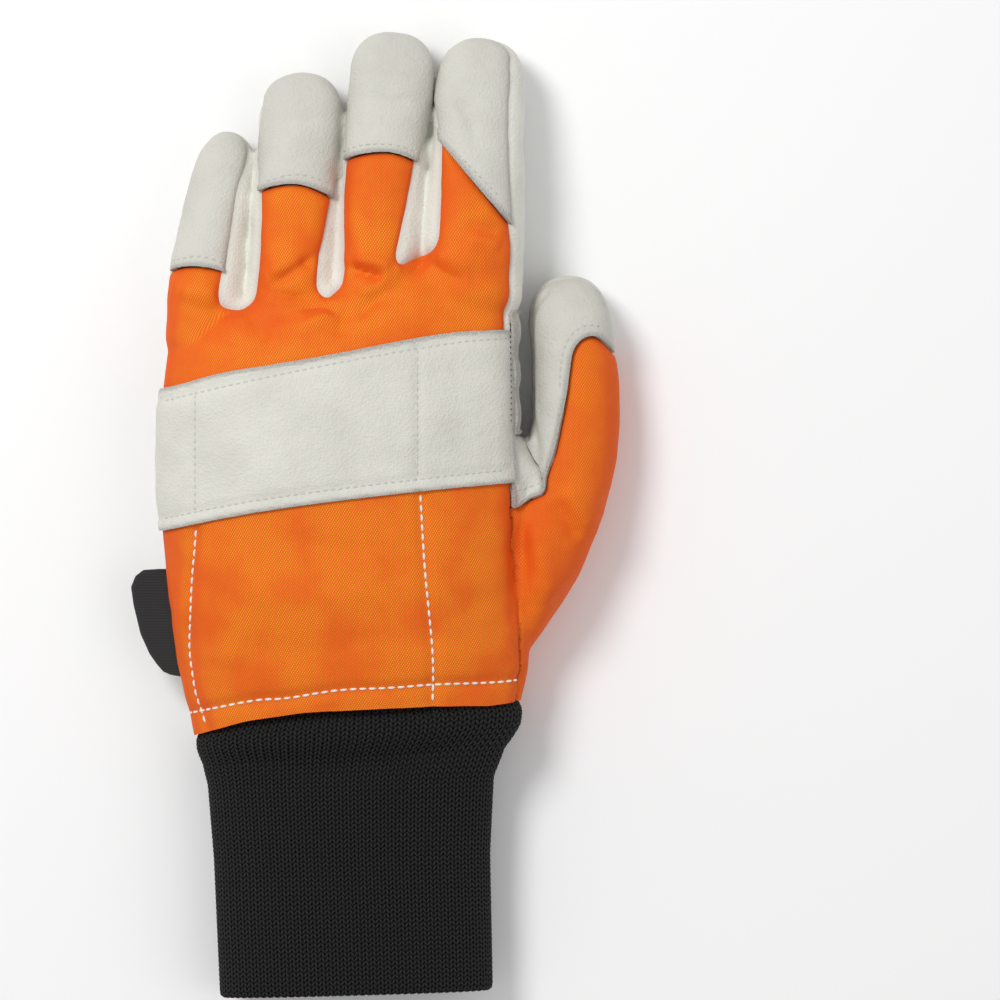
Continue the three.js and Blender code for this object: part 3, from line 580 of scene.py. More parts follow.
def cut(bm, distance, drop=False):
    """Cuts the mesh where the distance is zero, and drops the part where it is below zero."""
    bm.verts.index_update()
    home = bm.verts.layers.float_vector.get("home") or bm.verts.layers.float_vector.new("home")
    value = distance(places(bm))
    ends = np.array([(edge.verts[0].index, edge.verts[1].index) for edge in bm.edges])
    sign = value > 0
    bm.edges.ensure_lookup_table()
    crossed = np.flatnonzero(sign[ends[:, 0]] != sign[ends[:, 1]])
    crossing = list({face for i in crossed for face in bm.edges[i].link_faces})
    touched = {vert for face in crossing for vert in face.verts}
    for vert in touched:
        vert[home] = vert.co
        vert.co.x = value[vert.index]
    geom = list(touched) + list({edge for face in crossing for edge in face.edges}) + crossing
    made = bmesh.ops.bisect_plane(bm, geom=geom, dist=SNAP, plane_co=(0, 0, 0), plane_no=(1, 0, 0))
    touched |= {item for item in made["geom_cut"] if isinstance(item, bmesh.types.BMVert)}
    for vert in touched:
        vert.co = vert[home]
    if drop:
        bm.verts.index_update()
        value = distance(places(bm))
        lost = [face for face in bm.faces if np.mean([value[vert.index] for vert in face.verts]) < 0]
        bmesh.ops.delete(bm, geom=lost, context="FACES")


cut(hand, above_hem, drop=True)
for distance in [in_back, in_front, in_thumb_back, in_gusset, in_thumb, in_band, in_patch]:
    cut(hand, distance)
for name in FINGERS:
    cut(hand, beyond_cap(name))
for name in ("ring", "middle"):
    cut(hand, beyond_root(name))
bmesh.ops.remove_doubles(hand, verts=hand.verts, dist=MERGE)
hand.normal_update()
print("after the cuts", len(hand.verts), "points")

# %% Name the panel of each face
PANELS = ["palm_leather", "back_panel", "thumb_gusset", "thumb_back", "thumb_tip", "thumb_front",
          "little_tip", "ring_tip", "middle_tip", "index_tip",
          "side_strip_little_ring", "side_strip_ring_middle", "side_strip_middle_index",
          "ring_front", "middle_front"]


def between(first, second, points):
    """Which points lie between the centre lines of two fingers."""
    a, b = DIGITS[first].place(points), DIGITS[second].place(points)
    return (a[1] > 0) & (b[1] < 0) & (a[0] > -0.1)


def face_centres(bm):
    """The middles of all the faces as an array."""
    return np.array([face.calc_center_median()[:] for face in bm.faces])


def panel_of_faces(bm):
    """Each face's row in the list of panels, from the place of its middle."""
    points = face_centres(bm)
    panel = np.zeros(len(points), int)
    back, front = in_back(points) > 0, in_front(points) > 0
    for first, second in zip(FINGERS, FINGERS[1:]):
        panel[between(first, second, points) & ~back & ~front] = PANELS.index(f"side_strip_{first}_{second}")
    for name in ("ring", "middle"):
        _, across, _ = DIGITS[name].place(points)
        inner = own(name, points) & front & ~back & (abs(across) < 1.3)
        panel[inner & (beyond_root(name)(points) > 0)] = PANELS.index(name + "_front")
    panel[back] = PANELS.index("back_panel")
    for name in FINGERS:
        panel[back & own(name, points) & (beyond_cap(name)(points) > 0)] = PANELS.index(name + "_tip")
    thumb, high, along = in_thumb(points) > 0, points[:, 2] > THUMB_MIDDLE, points[:, 1] / PALM_LENGTH
    panel[thumb & high] = PANELS.index("thumb_tip")
    panel[thumb & ~high] = PANELS.index("thumb_front")
    panel[in_thumb_back(points) > 0] = PANELS.index("thumb_back")
    # slivers that two seams leave between them go to the piece beside them
    sliver = (in_thumb_back(points) > -1.5) & (panel == 0) & high & (along < 0.5)
    panel[sliver] = PANELS.index("thumb_back")
    sliver = (in_gusset(points) > -1.2) & (panel == 0) & high & (along < 0.56)
    panel[((in_gusset(points) > 0) & ~back) | sliver] = PANELS.index("thumb_gusset")
    return panel


# a group of fewer faces than this is a crumb
CRUMB = 400


def islands(bm, label):
    """Each group of joined faces with the same label, and the labels of the faces round it."""
    bm.faces.index_update()
    bm.faces.ensure_lookup_table()
    seen = np.zeros(len(label), bool)
    for seed in range(len(label)):
        if seen[seed]:
            continue
        seen[seed] = True
        island, front, around = [seed], [seed], []
        while front:
            for edge in bm.faces[front.pop()].edges:
                for other in edge.link_faces:
                    i = other.index
                    if label[i] != label[seed]:
                        around.append(int(label[i]))
                    elif not seen[i]:
                        seen[i] = True
                        island.append(i)
                        front.append(i)
        yield island, around


def join_crumbs(bm, label):
    """Gives each small island of faces to the panel round it."""
    joined = 0
    for island, around in islands(bm, label):
        if len(island) < CRUMB and around:
            label[island] = max(sorted(set(around)), key=around.count)
            joined += 1
    return joined


def settle_edges(bm, label, rounds=3, most_of=0.56):
    """Gives a face to the neighbour that most of its outline touches, so that no thin spike is left."""
    changed = 0
    for _ in range(rounds):
        beside = {}
        for edge in bm.edges:
            if len(edge.link_faces) == 2:
                first, second = (face.index for face in edge.link_faces)
                if label[first] != label[second]:
                    long = edge.calc_length()
                    for one, other in ((first, second), (second, first)):
                        shares = beside.setdefault(one, {})
                        shares[int(label[other])] = shares.get(int(label[other]), 0.0) + long
        for i, shares in sorted(beside.items()):
            most = max(sorted(shares), key=shares.get)
            if shares[most] > most_of * sum(edge.calc_length() for edge in bm.faces[i].edges):
                label[i] = most
                changed += 1
    return changed


def even_seams(bm, label, rounds=5):
    """Evens out each seam along its own line, because the cuts leave it slightly jagged."""
    ends = {}
    for edge in bm.edges:
        if len(edge.link_faces) < 2 or label[edge.link_faces[0].index] != label[edge.link_faces[1].index]:
            for vert in edge.verts:
                ends.setdefault(vert, []).append(edge.other_vert(vert))
    inner = [(vert, *two) for vert, two in ends.items() if len(two) == 2]
    for _ in range(rounds):
        moved = {vert: 0.5 * vert.co + 0.25 * (first.co + second.co) for vert, first, second in inner}
        for vert, place in moved.items():
            vert.co = place
    return len(ends)


panel = panel_of_faces(hand)
print("crumbs joined", join_crumbs(hand, panel), "faces settled", settle_edges(hand, panel))
centres = face_centres(hand)
over = np.where(in_band(centres) > 0, 1, np.where(in_patch(centres) > 0, 2, 0))
settle_edges(hand, over)
over_layer = hand.faces.layers.int.new("over")
for face, number, layer in zip(hand.faces, panel, over):
    face.material_index = int(number)
    face[over_layer] = int(layer)
print("seam points", even_seams(hand, panel * 3 + over))
bmesh.ops.dissolve_degenerate(hand, dist=SNAP, edges=hand.edges)
print({name: int((panel == number).sum()) for number, name in enumerate(PANELS)})

# %% [markdown]
# ## Let the padding swell
# Padded fabric isn't even: it swells between its seams and buckles where it is a little too long. So a
# coarse copy of the form is simulated as cloth, with air pressure inside and its seams held. How far
# each point moved is read off and capped, so that the glove keeps its measured outline.

# %% Simulate the coarse copy as cloth
SWELL_FRAMES, SWELL_PRESSURE, SHRINK = 20, 4.0, -0.04
HELD_NEAR_SEAM, HELD_NEAR_HEM, HELD_NEAR_FLOOR = 2.6, 6, 1.5
SWELL_CAP, SWELL_SOFTNESS = 1.6, 4


def tree_of(points):
    """A search tree that finds the nearest of the points."""
    tree = KDTree(len(points))
    for i, point in enumerate(points):
        tree.insert(point, i)
    tree.balance()
    return tree


def seam_tree(bm):
    """A search tree of the points where two pieces meet."""
    return tree_of([vert.co for vert in bm.verts
                    if len({face.material_index for face in vert.link_faces}) > 1])


def swelling(bm, seams):
    """The places of the coarse copy's points, and how far each one moved outwards as cloth."""
    bm.normal_update()
    start = places(bm)
    normals = np.array([vert.normal[:] for vert in bm.verts])
    held = [i for i, vert in enumerate(bm.verts)
            if vert.co.y < HELD_NEAR_HEM or vert.co.z < HELD_NEAR_FLOOR
            or seams.find(vert.co)[2] < HELD_NEAR_SEAM]
    bmesh.ops.transform(bm, matrix=Matrix.Scale(0.001, 4), verts=bm.verts)
    mesh = bpy.data.meshes.new("coarse_form")
    bm.to_mesh(mesh)
    bm.free()
    stand = bpy.data.objects.new("coarse_form", mesh)
    scene.collection.objects.link(stand)
    stand.vertex_groups.new(name="held").add(held, 1.0, "REPLACE")
    cloth = stand.modifiers.new("swell", "CLOTH")
    cloth.settings.vertex_group_mass = "held"
    cloth.settings.use_pressure = True
    cloth.settings.uniform_pressure_force = SWELL_PRESSURE
    cloth.settings.shrink_min = SHRINK
    cloth.settings.effector_weights.gravity = 0.0
    for number in range(1, SWELL_FRAMES + 1):
        scene.frame_set(number)
    moved = stand.evaluated_get(bpy.context.evaluated_depsgraph_get()).data
    end = np.empty(3 * len(start))
    moved.vertices.foreach_get("co", end)
    bpy.data.objects.remove(stand)
    scene.frame_set(1)
    return start, ((end.reshape(-1, 3) * 1000 - start) * normals).sum(axis=1)


def carried_over(start, out, points, count=7, spread_by=3.2):
    """The coarse copy's movement at the points of the fine skin, as a mean of the nearest ones."""
    tree = tree_of(start)
    result = np.empty(len(points))
    for row, point in enumerate(points):
        near = tree.find_n(point, count)
        weight = [math.exp(-(gap / spread_by) ** 2) + 1e-6 for _, _, gap in near]
        result[row] = sum(w * out[i] for w, (_, i, _) in zip(weight, near)) / sum(weight)
    return result


SEAMS = seam_tree(hand)
coarse_places, moved_out = swelling(coarse, SEAMS)
print("moved outwards by", np.percentile(moved_out, [1, 25, 50, 75, 99]).round(2))
capped = SWELL_CAP * np.tanh(moved_out / SWELL_SOFTNESS)
SWELL = carried_over(coarse_places, capped, places(hand))
print("swelling from", round(float(SWELL.min()), 2), "to", round(float(SWELL.max()), 2))

# %% [markdown]
# ## Padding, grooves and folds
# Between its seams the padded fabric puffs out, and every seam pulls a narrow groove. The folds at the
# finger roots and on the thumb are strokes drawn over the picture: a line, how high or deep the fold
# is, and how wide. That is sculpting by numbers, and each stroke can still be changed on its own.

# %% Folds as strokes: height and width in millimetres, then the line in the picture
FOLDS = [
    (-1.7, 2.2, [(268, 290), (296, 271), (319, 254)]),
    (-1.0, 1.6, [(266, 293), (290, 297), (314, 298)]),
    (1.2, 3.4, [(268, 276), (290, 268), (306, 256)]),
    (-2.0, 2.0, [(346, 268), (366, 273), (388, 281)]),
    (1.4, 3.0, [(350, 261), (372, 262), (396, 269)]),
    (1.1, 3.0, [(398, 272), (376, 288), (352, 302)]),
    (-1.0, 1.8, [(298, 311), (322, 308), (344, 317)]),
    (-0.9, 2.4, [(388, 292), (370, 306), (356, 322)]),
    (-0.9, 2.2, [(430, 262), (446, 276), (470, 282)]),
    (0.8, 3.5, [(432, 250), (452, 262), (480, 268)]),
    (-0.7, 2.0, [(180, 302), (204, 312), (226, 309)]),
    (0.9, 4.0, [(180, 290), (200, 297), (222, 293)]),
    (-0.8, 2.5, [(246, 312), (262, 330), (270, 350)]),
    (-0.9, 2.2, [(462, 226), (482, 229), (503, 237)]),
    (0.8, 3.0, [(464, 239), (484, 244), (503, 251)]),
    (-0.8, 2.6, [(347, 303), (344, 322), (338, 344)]),
    (0.8, 2.4, [(338, 311), (322, 319), (303, 331)]),
    (-1.5, 3.4, [(526, 436), (535, 453), (541, 470)]),
    (-1.5, 3.2, [(551, 494), (566, 518), (582, 544)]),
    (1.0, 4.0, [(560, 487), (580, 512), (592, 535)]),
    (1.2, 4.5, [(529, 514), (541, 560), (550, 612)]),
    (-2.0, 3.8, [(517, 512), (525, 575), (531, 640)]),
    (-0.8, 3.0, [(545, 640), (556, 610), (566, 585)]),
    (-0.7, 3.0, [(548, 480), (560, 484), (572, 488)]),
    (-0.6, 3.0, [(532, 330), (534, 380), (540, 430)]),
    (-0.6, 5.0, [(300, 540), (340, 552), (380, 545)]),
    (-0.5, 6.0, [(230, 640), (300, 655), (380, 640)]),
    (0.7, 8.0, [(215, 580), (300, 600), (400, 590)]),
    (-0.8, 2.0, [(455, 96), (470, 120), (476, 140)]),
    (-0.5, 2.2, [(275, 118), (300, 124), (325, 118)]),
    (-0.5, 2.2, [(362, 96), (390, 104), (415, 98)]),
]
CREASES = [
    (-0.9, 0.9, [(548, 291), (537, 305), (532, 322), (530, 350), (531, 390), (535, 430), (538, 462)]),
    (-0.5, 0.9, [(513, 508), (512, 540), (516, 590)]),
]
CUFF_FOLDS = [
    (-1.5, 4.2, [(196, 752), (240, 762), (330, 767), (420, 756), (470, 744), (505, 724)]),
    (0.5, 5.0, [(205, 785), (280, 790), (380, 786), (480, 770)]),
    (-0.5, 5.0, [(214, 880), (300, 872), (400, 884)]),
]
QUILTING = [
    (-0.9, 2.2, [(198, 531), (195, 575), (193, 590), (191, 655), (196, 690), (209, 729)]),
    (-0.9, 2.2, [(421, 496), (425, 566), (430, 616), (434, 659), (433, 702)]),
    (-0.9, 2.2, [(189, 713), (203, 710), (259, 698), (286, 698), (339, 688), (389, 687), (434, 683),
                 (498, 682), (523, 678)]),
]


def smooth_line(points, rounds=3):
    """Rounds the corners of an open line by cutting them."""
    line = np.array(points, float)
    for _ in range(rounds):
        cuts = np.empty((2 * len(line) - 2, line.shape[1]))
        cuts[0::2] = 0.75 * line[:-1] + 0.25 * line[1:]
        cuts[1::2] = 0.25 * line[:-1] + 0.75 * line[1:]
        line = np.concatenate([line[:1], cuts, line[-1:]])
    return line


def drawn(points):
    """A line of the picture, smooth and in millimetres."""
    return np.array([spot(x, y) for x, y in smooth_line(points)])


def from_line(points, line):
    """Distance seen from above to an open line, and the share of its length at the nearest place."""
    steps = np.hypot(*(line[1:] - line[:-1]).T)
    passed = np.concatenate([[0], np.cumsum(steps)])
    best = np.full(len(points), FAR)
    share = np.zeros(len(points))
    for i, (a, b) in enumerate(zip(line[:-1], line[1:])):
        gap, along = from_edge(points, a, b)
        closer = gap < best
        best = np.where(closer, gap, best)
        share = np.where(closer, (passed[i] + along * steps[i]) / passed[-1], share)
    return best, share


def strokes(points, facing, table):
    """The height that all strokes of a table give at each point. A fold fades towards its two ends."""
    height = np.zeros(len(points))
    folds = table is FOLDS or table is CUFF_FOLDS
    for tall, wide, line in table:
        gap, share = from_line(points, drawn(line))
        taper = np.clip(4 * np.minimum(share, 1 - share), 0.3, 1) if folds else 1
        height += tall * taper * np.exp(-(gap / wide) ** (1.5 if folds else 2))
    return height * facing


def lumps(points, size, seed):
    """Soft uneven bumps of a given size."""
    return np.array([noise.noise(Vector(p) / size + Vector((seed, 0, 0))) for p in points])


# depth and width of the groove at a seam, height and reach of the padding between seams
GROOVE_DEPTH, GROOVE_WIDTH = 0.8, 0.85
PILLOW_HEIGHT, PILLOW_REACH = 0.6, 3.6
SWELL_SHARE, FOLD_SHARE = 0.7, 1.35
# uneven bumps over the whole glove: height, size and where in the noise they are taken from
LUMPS = [(0.55, 21.0, 3.0), (0.22, 7.0, 8.0)]
# the hem's right corner is drawn in: how far, and where along the glove
TUCK, TUCK_AT, TUCK_REACH = 1.9, 3, 9
# the cloth's UV map holds millimetres divided by this
CLOTH_UNIT = 100.0

hand.normal_update()
row_layer = hand.verts.layers.int.new("row")
for i, vert in enumerate(hand.verts):
    vert[row_layer] = i
BASE = places(hand)
NORMAL = np.array([vert.normal[:] for vert in hand.verts])
GAP = np.array([SEAMS.find(vert.co)[2] for vert in hand.verts])
UPWARD = np.clip(NORMAL[:, 2] * 1.6, 0, 1)
groove = GROOVE_DEPTH * np.exp(-(GAP / GROOVE_WIDTH) ** 2)
pillow = PILLOW_HEIGHT * (1 - np.exp(-(GAP / PILLOW_REACH) ** 2))
HEIGHT = pillow + SWELL_SHARE * SWELL + FOLD_SHARE * strokes(BASE, UPWARD, FOLDS)
HEIGHT += strokes(BASE, UPWARD, QUILTING) * (in_band(BASE) < 0)
HEIGHT += strokes(BASE, (BASE[:, 2] > THUMB_MIDDLE) * 1.0, CREASES)
HEIGHT += sum(tall * lumps(BASE, size, seed) for tall, size, seed in LUMPS)
HEIGHT -= TUCK * np.exp(-((BASE[:, 1] - TUCK_AT) / TUCK_REACH) ** 2) * np.clip(NORMAL[:, 0], 0, 1)

# the cloth's own flat coordinates for the weave: across it runs on down the sides, past the ridge
thumb_part = np.maximum(in_thumb(BASE), in_thumb_back(BASE)) > 0
ridge = np.where(thumb_part, 28.0, np.interp(BASE[:, 1], [105, 140], [43.0, 31.0]))
CLOTH = np.stack([BASE[:, 0] + 0.6 * NORMAL[:, 0] * (ridge - BASE[:, 2]), BASE[:, 1]], axis=1) / CLOTH_UNIT
print("groove", round(float(groove.max()), 2))
print("height", round(float(HEIGHT.min()), 2), "to", round(float(HEIGHT.max()), 2))

# %% [markdown]
# ## From the skin to the pieces
# Each piece takes its own faces of the skin. A leather cap is sewn on top of the orange fabric with its
# cut edge showing, so its lower lip is lifted while the fabric runs on under it. Solidify then gives
# each piece its thickness, inwards, and its cut edge gets the suede colour.

# %% Lips of the pieces that lie on top
NORMAL_VECTORS = [Vector(n) for n in NORMAL]
# a lip gets lower down the sides of the hand
STEEP = np.clip(0.25 + NORMAL[:, 2] * 1.3, 0.25, 1)
# how far the seam's grey, which is dirt and painted shade in the groove, and the cut edge's suede reach over
# the leather
SEAM_REACH, RAW_REACH = 1.3, 1.25


def lip(distance, reach=8.0, lift=1.25):
    """How far a lapped piece lies above its neighbour, at a distance inside its own edge."""
    return np.where(distance > -1.0, lift * np.exp(-(np.clip(distance, 0, None) / reach) ** 2), 0)


def lift_of(name):
    """How far each point of a piece is lifted off its neighbour, and where its cut edge shows."""
    finger = name.removesuffix("_tip")
    if name.endswith("_tip") and finger in FINGERS:
        away = beyond_cap(finger)(BASE)
        _, across, _ = DIGITS[finger].place(BASE)
        middle = np.clip(1.3 - abs(across) ** 4, 0, 1)
        return lip(away) * middle * STEEP, (away < 1.6) & (middle > 0.3)
    if name == "thumb_tip":
        away = -inside(THUMB_TOP_OUTLINE, BASE)
        return lip(away, 7.0) * STEEP * np.clip((90 - BASE[:, 0]) / 8, 0.15, 1), away < 1.6
    if name == "thumb_gusset":
        away = inside(laid(GUSSET), BASE)
        low = np.clip((0.575 * PALM_LENGTH - BASE[:, 1]) / 9, 0, 1)
        return lip(away, 5.0) * low, (low > 0.3) & (away < 1.6)
    return np.zeros(len(BASE)), np.zeros(len(BASE), bool)


def taken(number=None, layer=None):
    """A copy of the skin with one piece's faces only, and each point's row in the tables."""
    copy = hand.copy()
    row = copy.verts.layers.int["row"]
    over_it = copy.faces.layers.int["over"]
    if layer is None:
        lost = [face for face in copy.faces if face.material_index != number]
    else:
        lost = [face for face in copy.faces if face[over_it] != layer]
    bmesh.ops.delete(copy, geom=lost, context="FACES")
    return copy, np.array([vert[row] for vert in copy.verts])


def displace(bm, rows, height, raw=None):
    """Moves the points to their height and writes down where the leather's cut edge and the seams are."""
    raw_layer = bm.verts.layers.float.new("raw")
    seam_layer = bm.verts.layers.float.new("seam")
    cloth = bm.loops.layers.uv.new("cloth")
    for vert, i in zip(bm.verts, rows):
        vert.co = Vector(BASE[i]) + NORMAL_VECTORS[i] * float(height[i])
        vert.co.z = max(vert.co.z, 0.0)
        vert[seam_layer] = float(math.exp(-(GAP[i] / SEAM_REACH) ** 2))
        vert[raw_layer] = 0.0 if raw is None else float(raw[i])
        for loop in vert.link_loops:
            loop[cloth].uv = CLOTH[i]


def drop_crumbs(bm):
    """Drops the crumbs that a cut can leave beside a piece."""
    parts = sorted((island for island, _ in islands(bm, np.zeros(len(bm.faces)))), key=len)
    crumbs = [bm.faces[i] for part in parts[:-1] if len(part) < CRUMB for i in part]
    bmesh.ops.delete(bm, geom=crumbs, context="FACES")


SURFACES = {}
for number, name in enumerate(PANELS):
    piece, rows = taken(number=number)
    lift, bare_edge = lift_of(name)
    raw = np.where(bare_edge, np.exp(-(GAP / RAW_REACH) ** 4), 0)
    displace(piece, rows, HEIGHT - np.where(bare_edge, 0, groove) + lift, raw)
    drop_crumbs(piece)
    if name.startswith("side_strip") or name == "thumb_gusset":
        relax(piece, [vert for vert in piece.verts if not vert.is_boundary], 6)
    SURFACES[name] = piece
print({name: len(piece.faces) for name, piece in SURFACES.items()})

# %% [markdown]
# The knuckle band and the palm patch are extra layers. They use the same skin, moved outwards. The
# patch is quilted: between two rows of stitches the padding stands up as a rib, and at a row the
# leather is pulled down.

# %% The knuckle band and the ribbed patch
BAND_ROWS = [
    [(166, 401), (254, 381), (353, 361), (463, 342), (507, 339)],
    [(166, 518), (260, 499), (420, 479), (506, 470)],
    [(197, 394), (197, 511)],
    [(418, 350), (418, 480)],
]
BAND_LIFT, ROW_DEPTH, ROW_WIDTH = 1.55, -0.55, 1.5


def at_edge(distance, reach, power):
    """1 at a layer's own edge, falling to 0 inside it."""
    return np.exp(-(np.clip(distance, 0, None) / reach) ** power)


band_height = HEIGHT + BAND_LIFT + strokes(BASE, 1.0, [(ROW_DEPTH, ROW_WIDTH, line) for line in BAND_ROWS])
band, rows = taken(layer=1)
displace(band, rows, band_height - 0.35 * at_edge(in_band(BASE), 1.2, 2), at_edge(in_band(BASE), 1.1, 4))
drop_crumbs(band)
SURFACES["knuckle_band"] = band

# how many ribs, how much of each one's width stands up, how full it is, and how low a row lies
RIBS, RIB_SHARE, RIB_FULLNESS, RIB_LOW = 3, 0.68, 2.2, -0.15
top_line, bottom_line = laid(PATCH_TOP), laid(PATCH_BOTTOM)[::-1]
patch_top = np.interp(BASE[:, 0], top_line[:, 0], top_line[:, 1])
patch_bottom = np.interp(BASE[:, 0], bottom_line[:, 0], bottom_line[:, 1])
patch_share = (BASE[:, 1] - patch_bottom) / (patch_top - patch_bottom)
phase = np.abs(((patch_share * RIBS) % 1) - 0.5) * 2
rib = np.where(phase < RIB_SHARE, 1 - (phase / RIB_SHARE) ** RIB_FULLNESS, RIB_LOW)
patch, rows = taken(layer=2)
# the ribs run out towards the left side, and are lower on the right side
left_fade = np.clip((BASE[:, 0] + 53) / 9, 0, 1)
patch_height = 0.5 + left_fade + (0.2 + left_fade) * rib * np.where(BASE[:, 0] > 52, 0.6, 1.0)
displace(patch, rows, HEIGHT * 0.4 + patch_height, at_edge(in_patch(BASE), 1.3, 4))
drop_crumbs(patch)
SURFACES["palm_patch"] = patch
print("band", len(band.faces), "patch", len(patch.faces))

# %% [markdown]
# ## Materials
# The materials are built from sums. A small class lets one socket be added to, or multiplied with,
# another, so that a weave can be written as a formula instead of a drawing of wires.

# %% A short way to write shader sums


class Value:
    """One output of a node. It can be added to, taken from, multiplied and divided."""

    def __init__(self, paint, socket):
        self.paint, self.socket = paint, socket

    def sum(self, kind, first, second):
        return self.paint.node("ShaderNodeMath", {"operation": kind}, {0: first, 1: second})

    def __add__(self, other):
        return self.sum("ADD", self, other)

    def __radd__(self, other):
        return self.sum("ADD", other, self)

    def __sub__(self, other):
        return self.sum("SUBTRACT", self, other)

    def __rsub__(self, other):
        return self.sum("SUBTRACT", other, self)

    def __mul__(self, other):
        return self.sum("MULTIPLY", self, other)

    def __rmul__(self, other):
        return self.sum("MULTIPLY", other, self)

    def __truediv__(self, other):
        return self.sum("DIVIDE", self, other)

    def __rtruediv__(self, other):
        return self.sum("DIVIDE", other, self)

    def sine(self):
        return self.paint.node("ShaderNodeMath", {"operation": "SINE"}, {0: self})

    def limited(self, low, high):
        """0 below the low value, 1 above the high one, and smooth between them."""
        return self.paint.node("ShaderNodeMapRange", {"interpolation_type": "SMOOTHSTEP"},
                               {"Value": self, "From Min": low, "From Max": high})


class Paint:
    """A material with its Principled shader."""

    def __init__(self, name, colour, roughness):
        self.material = bpy.data.materials.new(name)
        self.material.use_nodes = True
        self.tree = self.material.node_tree
        self.shader = self.tree.nodes["Principled BSDF"]
        self.give("Base Color", (*colour, 1))
        self.give("Roughness", roughness)
        self.material.diffuse_color = (*colour, 1)

    def give(self, name, value):
        if isinstance(value, Value):
            self.tree.links.new(value.socket, self.shader.inputs[name])
        else:
            self.shader.inputs[name].default_value = value

    def node(self, kind, settings, inputs, output=0):
        made = self.tree.nodes.new(kind)
        for key, value in settings.items():
            setattr(made, key, value)
        for key, value in inputs.items():
            if isinstance(value, Value):
                self.tree.links.new(value.socket, made.inputs[key])
            else:
                made.inputs[key].default_value = value
        return Value(self, made.outputs[output])

    def place(self):
        """The point in millimetres, as a vector and as its three parts."""
        metres = self.node("ShaderNodeTexCoord", {}, {}, "Object")
        scaled = self.node("ShaderNodeVectorMath", {"operation": "SCALE"}, {0: metres, "Scale": 1000.0})
        parts = [self.node("ShaderNodeSeparateXYZ", {}, {0: scaled}, i) for i in range(3)]
        return scaled, parts

    def noise(self, place, scale, detail=2.0):
        return self.node("ShaderNodeTexNoise", {}, {"Vector": place, "Scale": scale, "Detail": detail}, "Fac")

    def mix(self, factor, first, second):
        """Mixes two colours. Sockets 6 and 7 and output 2 of the node are the colour ones."""
        first, second = ((*colour, 1) if isinstance(colour, tuple) else colour for colour in (first, second))
        return self.node("ShaderNodeMix", {"data_type": "RGBA"}, {0: factor, 6: first, 7: second}, 2)

    def bump(self, height, distance):
        sockets = {"Height": height, "Distance": distance / 1000, "Strength": 1.0}
        self.give("Normal", self.node("ShaderNodeBump", {}, sockets, "Normal"))


# %% Leather, fabric, knit and thread


def leather(name, pale, dark, grain=0.18):
    """Grained hide. It is greyer along its seams, with seam dirt and painted shade in the grooves, and rough
    and darker at a cut edge.
    """
    paint = Paint(name, pale, 0.62)
    place, _ = paint.place()
    cells = paint.node("ShaderNodeTexVoronoi", {}, {"Vector": place, "Scale": 1.25}, "Distance")
    crease = paint.noise(place, 0.35, 4.0)
    clouds = paint.noise(place, 0.045, 3.0).limited(0.3, 0.75)
    raw = paint.node("ShaderNodeAttribute", {"attribute_name": "raw"}, {}, "Fac")
    seam = paint.node("ShaderNodeAttribute", {"attribute_name": "seam"}, {}, "Fac")
    fuzz = paint.noise(place, 1.9, 3.0)
    skin = paint.mix(clouds * 0.6 + crease * 0.35, pale, dark)
    # seam dirt and painted shade: the leather goes greyer near its seams, in the grooves
    seam_dirt_and_shade = paint.mix(seam * 0.35, skin, (0.40, 0.39, 0.36))
    paint.give("Base Color", paint.mix(raw * (0.3 + fuzz), seam_dirt_and_shade, (0.46, 0.45, 0.415)))
    paint.bump(cells + crease * 1.1 + raw * fuzz * 5.0, grain)
    return paint.material


# the weave repeats across and along the cloth, in millimetres
REPEAT_ACROSS, REPEAT_ALONG = 0.78, 1.32


def woven(name, highlight_share=1.0):
    """Two yarns: a bright one comes up in dots on the deep one, and the dots are painted stronger where the
    cloth faces up, as a painted highlight.
    """
    deep, bright = (0.83, 0.106, 0.005), (0.99, 0.43, 0.018)
    paint = Paint(name, deep, 0.7)
    paint.give("Specular IOR Level", 0.25)
    cloth = paint.node("ShaderNodeUVMap", {"uv_map": "cloth"}, {})
    u = paint.node("ShaderNodeSeparateXYZ", {}, {0: cloth}, 0) * CLOTH_UNIT
    v = paint.node("ShaderNodeSeparateXYZ", {}, {0: cloth}, 1) * CLOTH_UNIT
    place, _ = paint.place()
    normal = paint.node("ShaderNodeNewGeometry", {}, {}, "Normal")
    facing = paint.node("ShaderNodeSeparateXYZ", {}, {0: normal}, 2)
    turn = 2 * math.pi
    wobble = paint.noise(place, 0.12, 2.0) * 1.2
    across = (u * (turn / REPEAT_ACROSS) + wobble).sine()
    along = (v * (turn / REPEAT_ALONG) + u * 0.9 + wobble).sine()
    dots = (across * along).limited(-0.1, 0.8)
    patchy = paint.noise(place, 0.05, 3.0).limited(0.3, 0.62)
    # painted highlight: the bright dots grow where the cloth faces up, towards the light
    painted_highlight = facing.limited(0.62, 0.99)
    amount = (dots * (0.35 + 0.65 * patchy) * (0.1 + 0.95 * painted_highlight) + 0.04 * patchy) * highlight_share
    paint.give("Base Color", paint.mix(amount, deep, bright))
    paint.bump(dots, 0.12)
    return paint.material


def yarn(name, colour, glow, pitch):
    """Thread or knit: a colour with fine lighter fibres in it."""
    paint = Paint(name, colour, 0.85)
    place, _ = paint.place()
    fuzz = paint.noise(place, pitch, 4.0)
    paint.give("Base Color", paint.mix(fuzz.limited(0.45, 0.75), colour, glow))
    paint.bump(fuzz, 0.12)
    return paint.material


def tab(name, rib=0.5):
    """A woven tape with fine ribs across it."""
    paint = Paint(name, (0.011, 0.011, 0.012), 0.6)
    _, (_, along, _) = paint.place()
    ribs = (along * (2 * math.pi / rib)).sine()
    paint.give("Base Color", paint.mix(ribs.limited(-0.5, 1.0), (0.006, 0.006, 0.007), (0.018, 0.018, 0.019)))
    paint.bump(ribs, 0.05)
    return paint.material


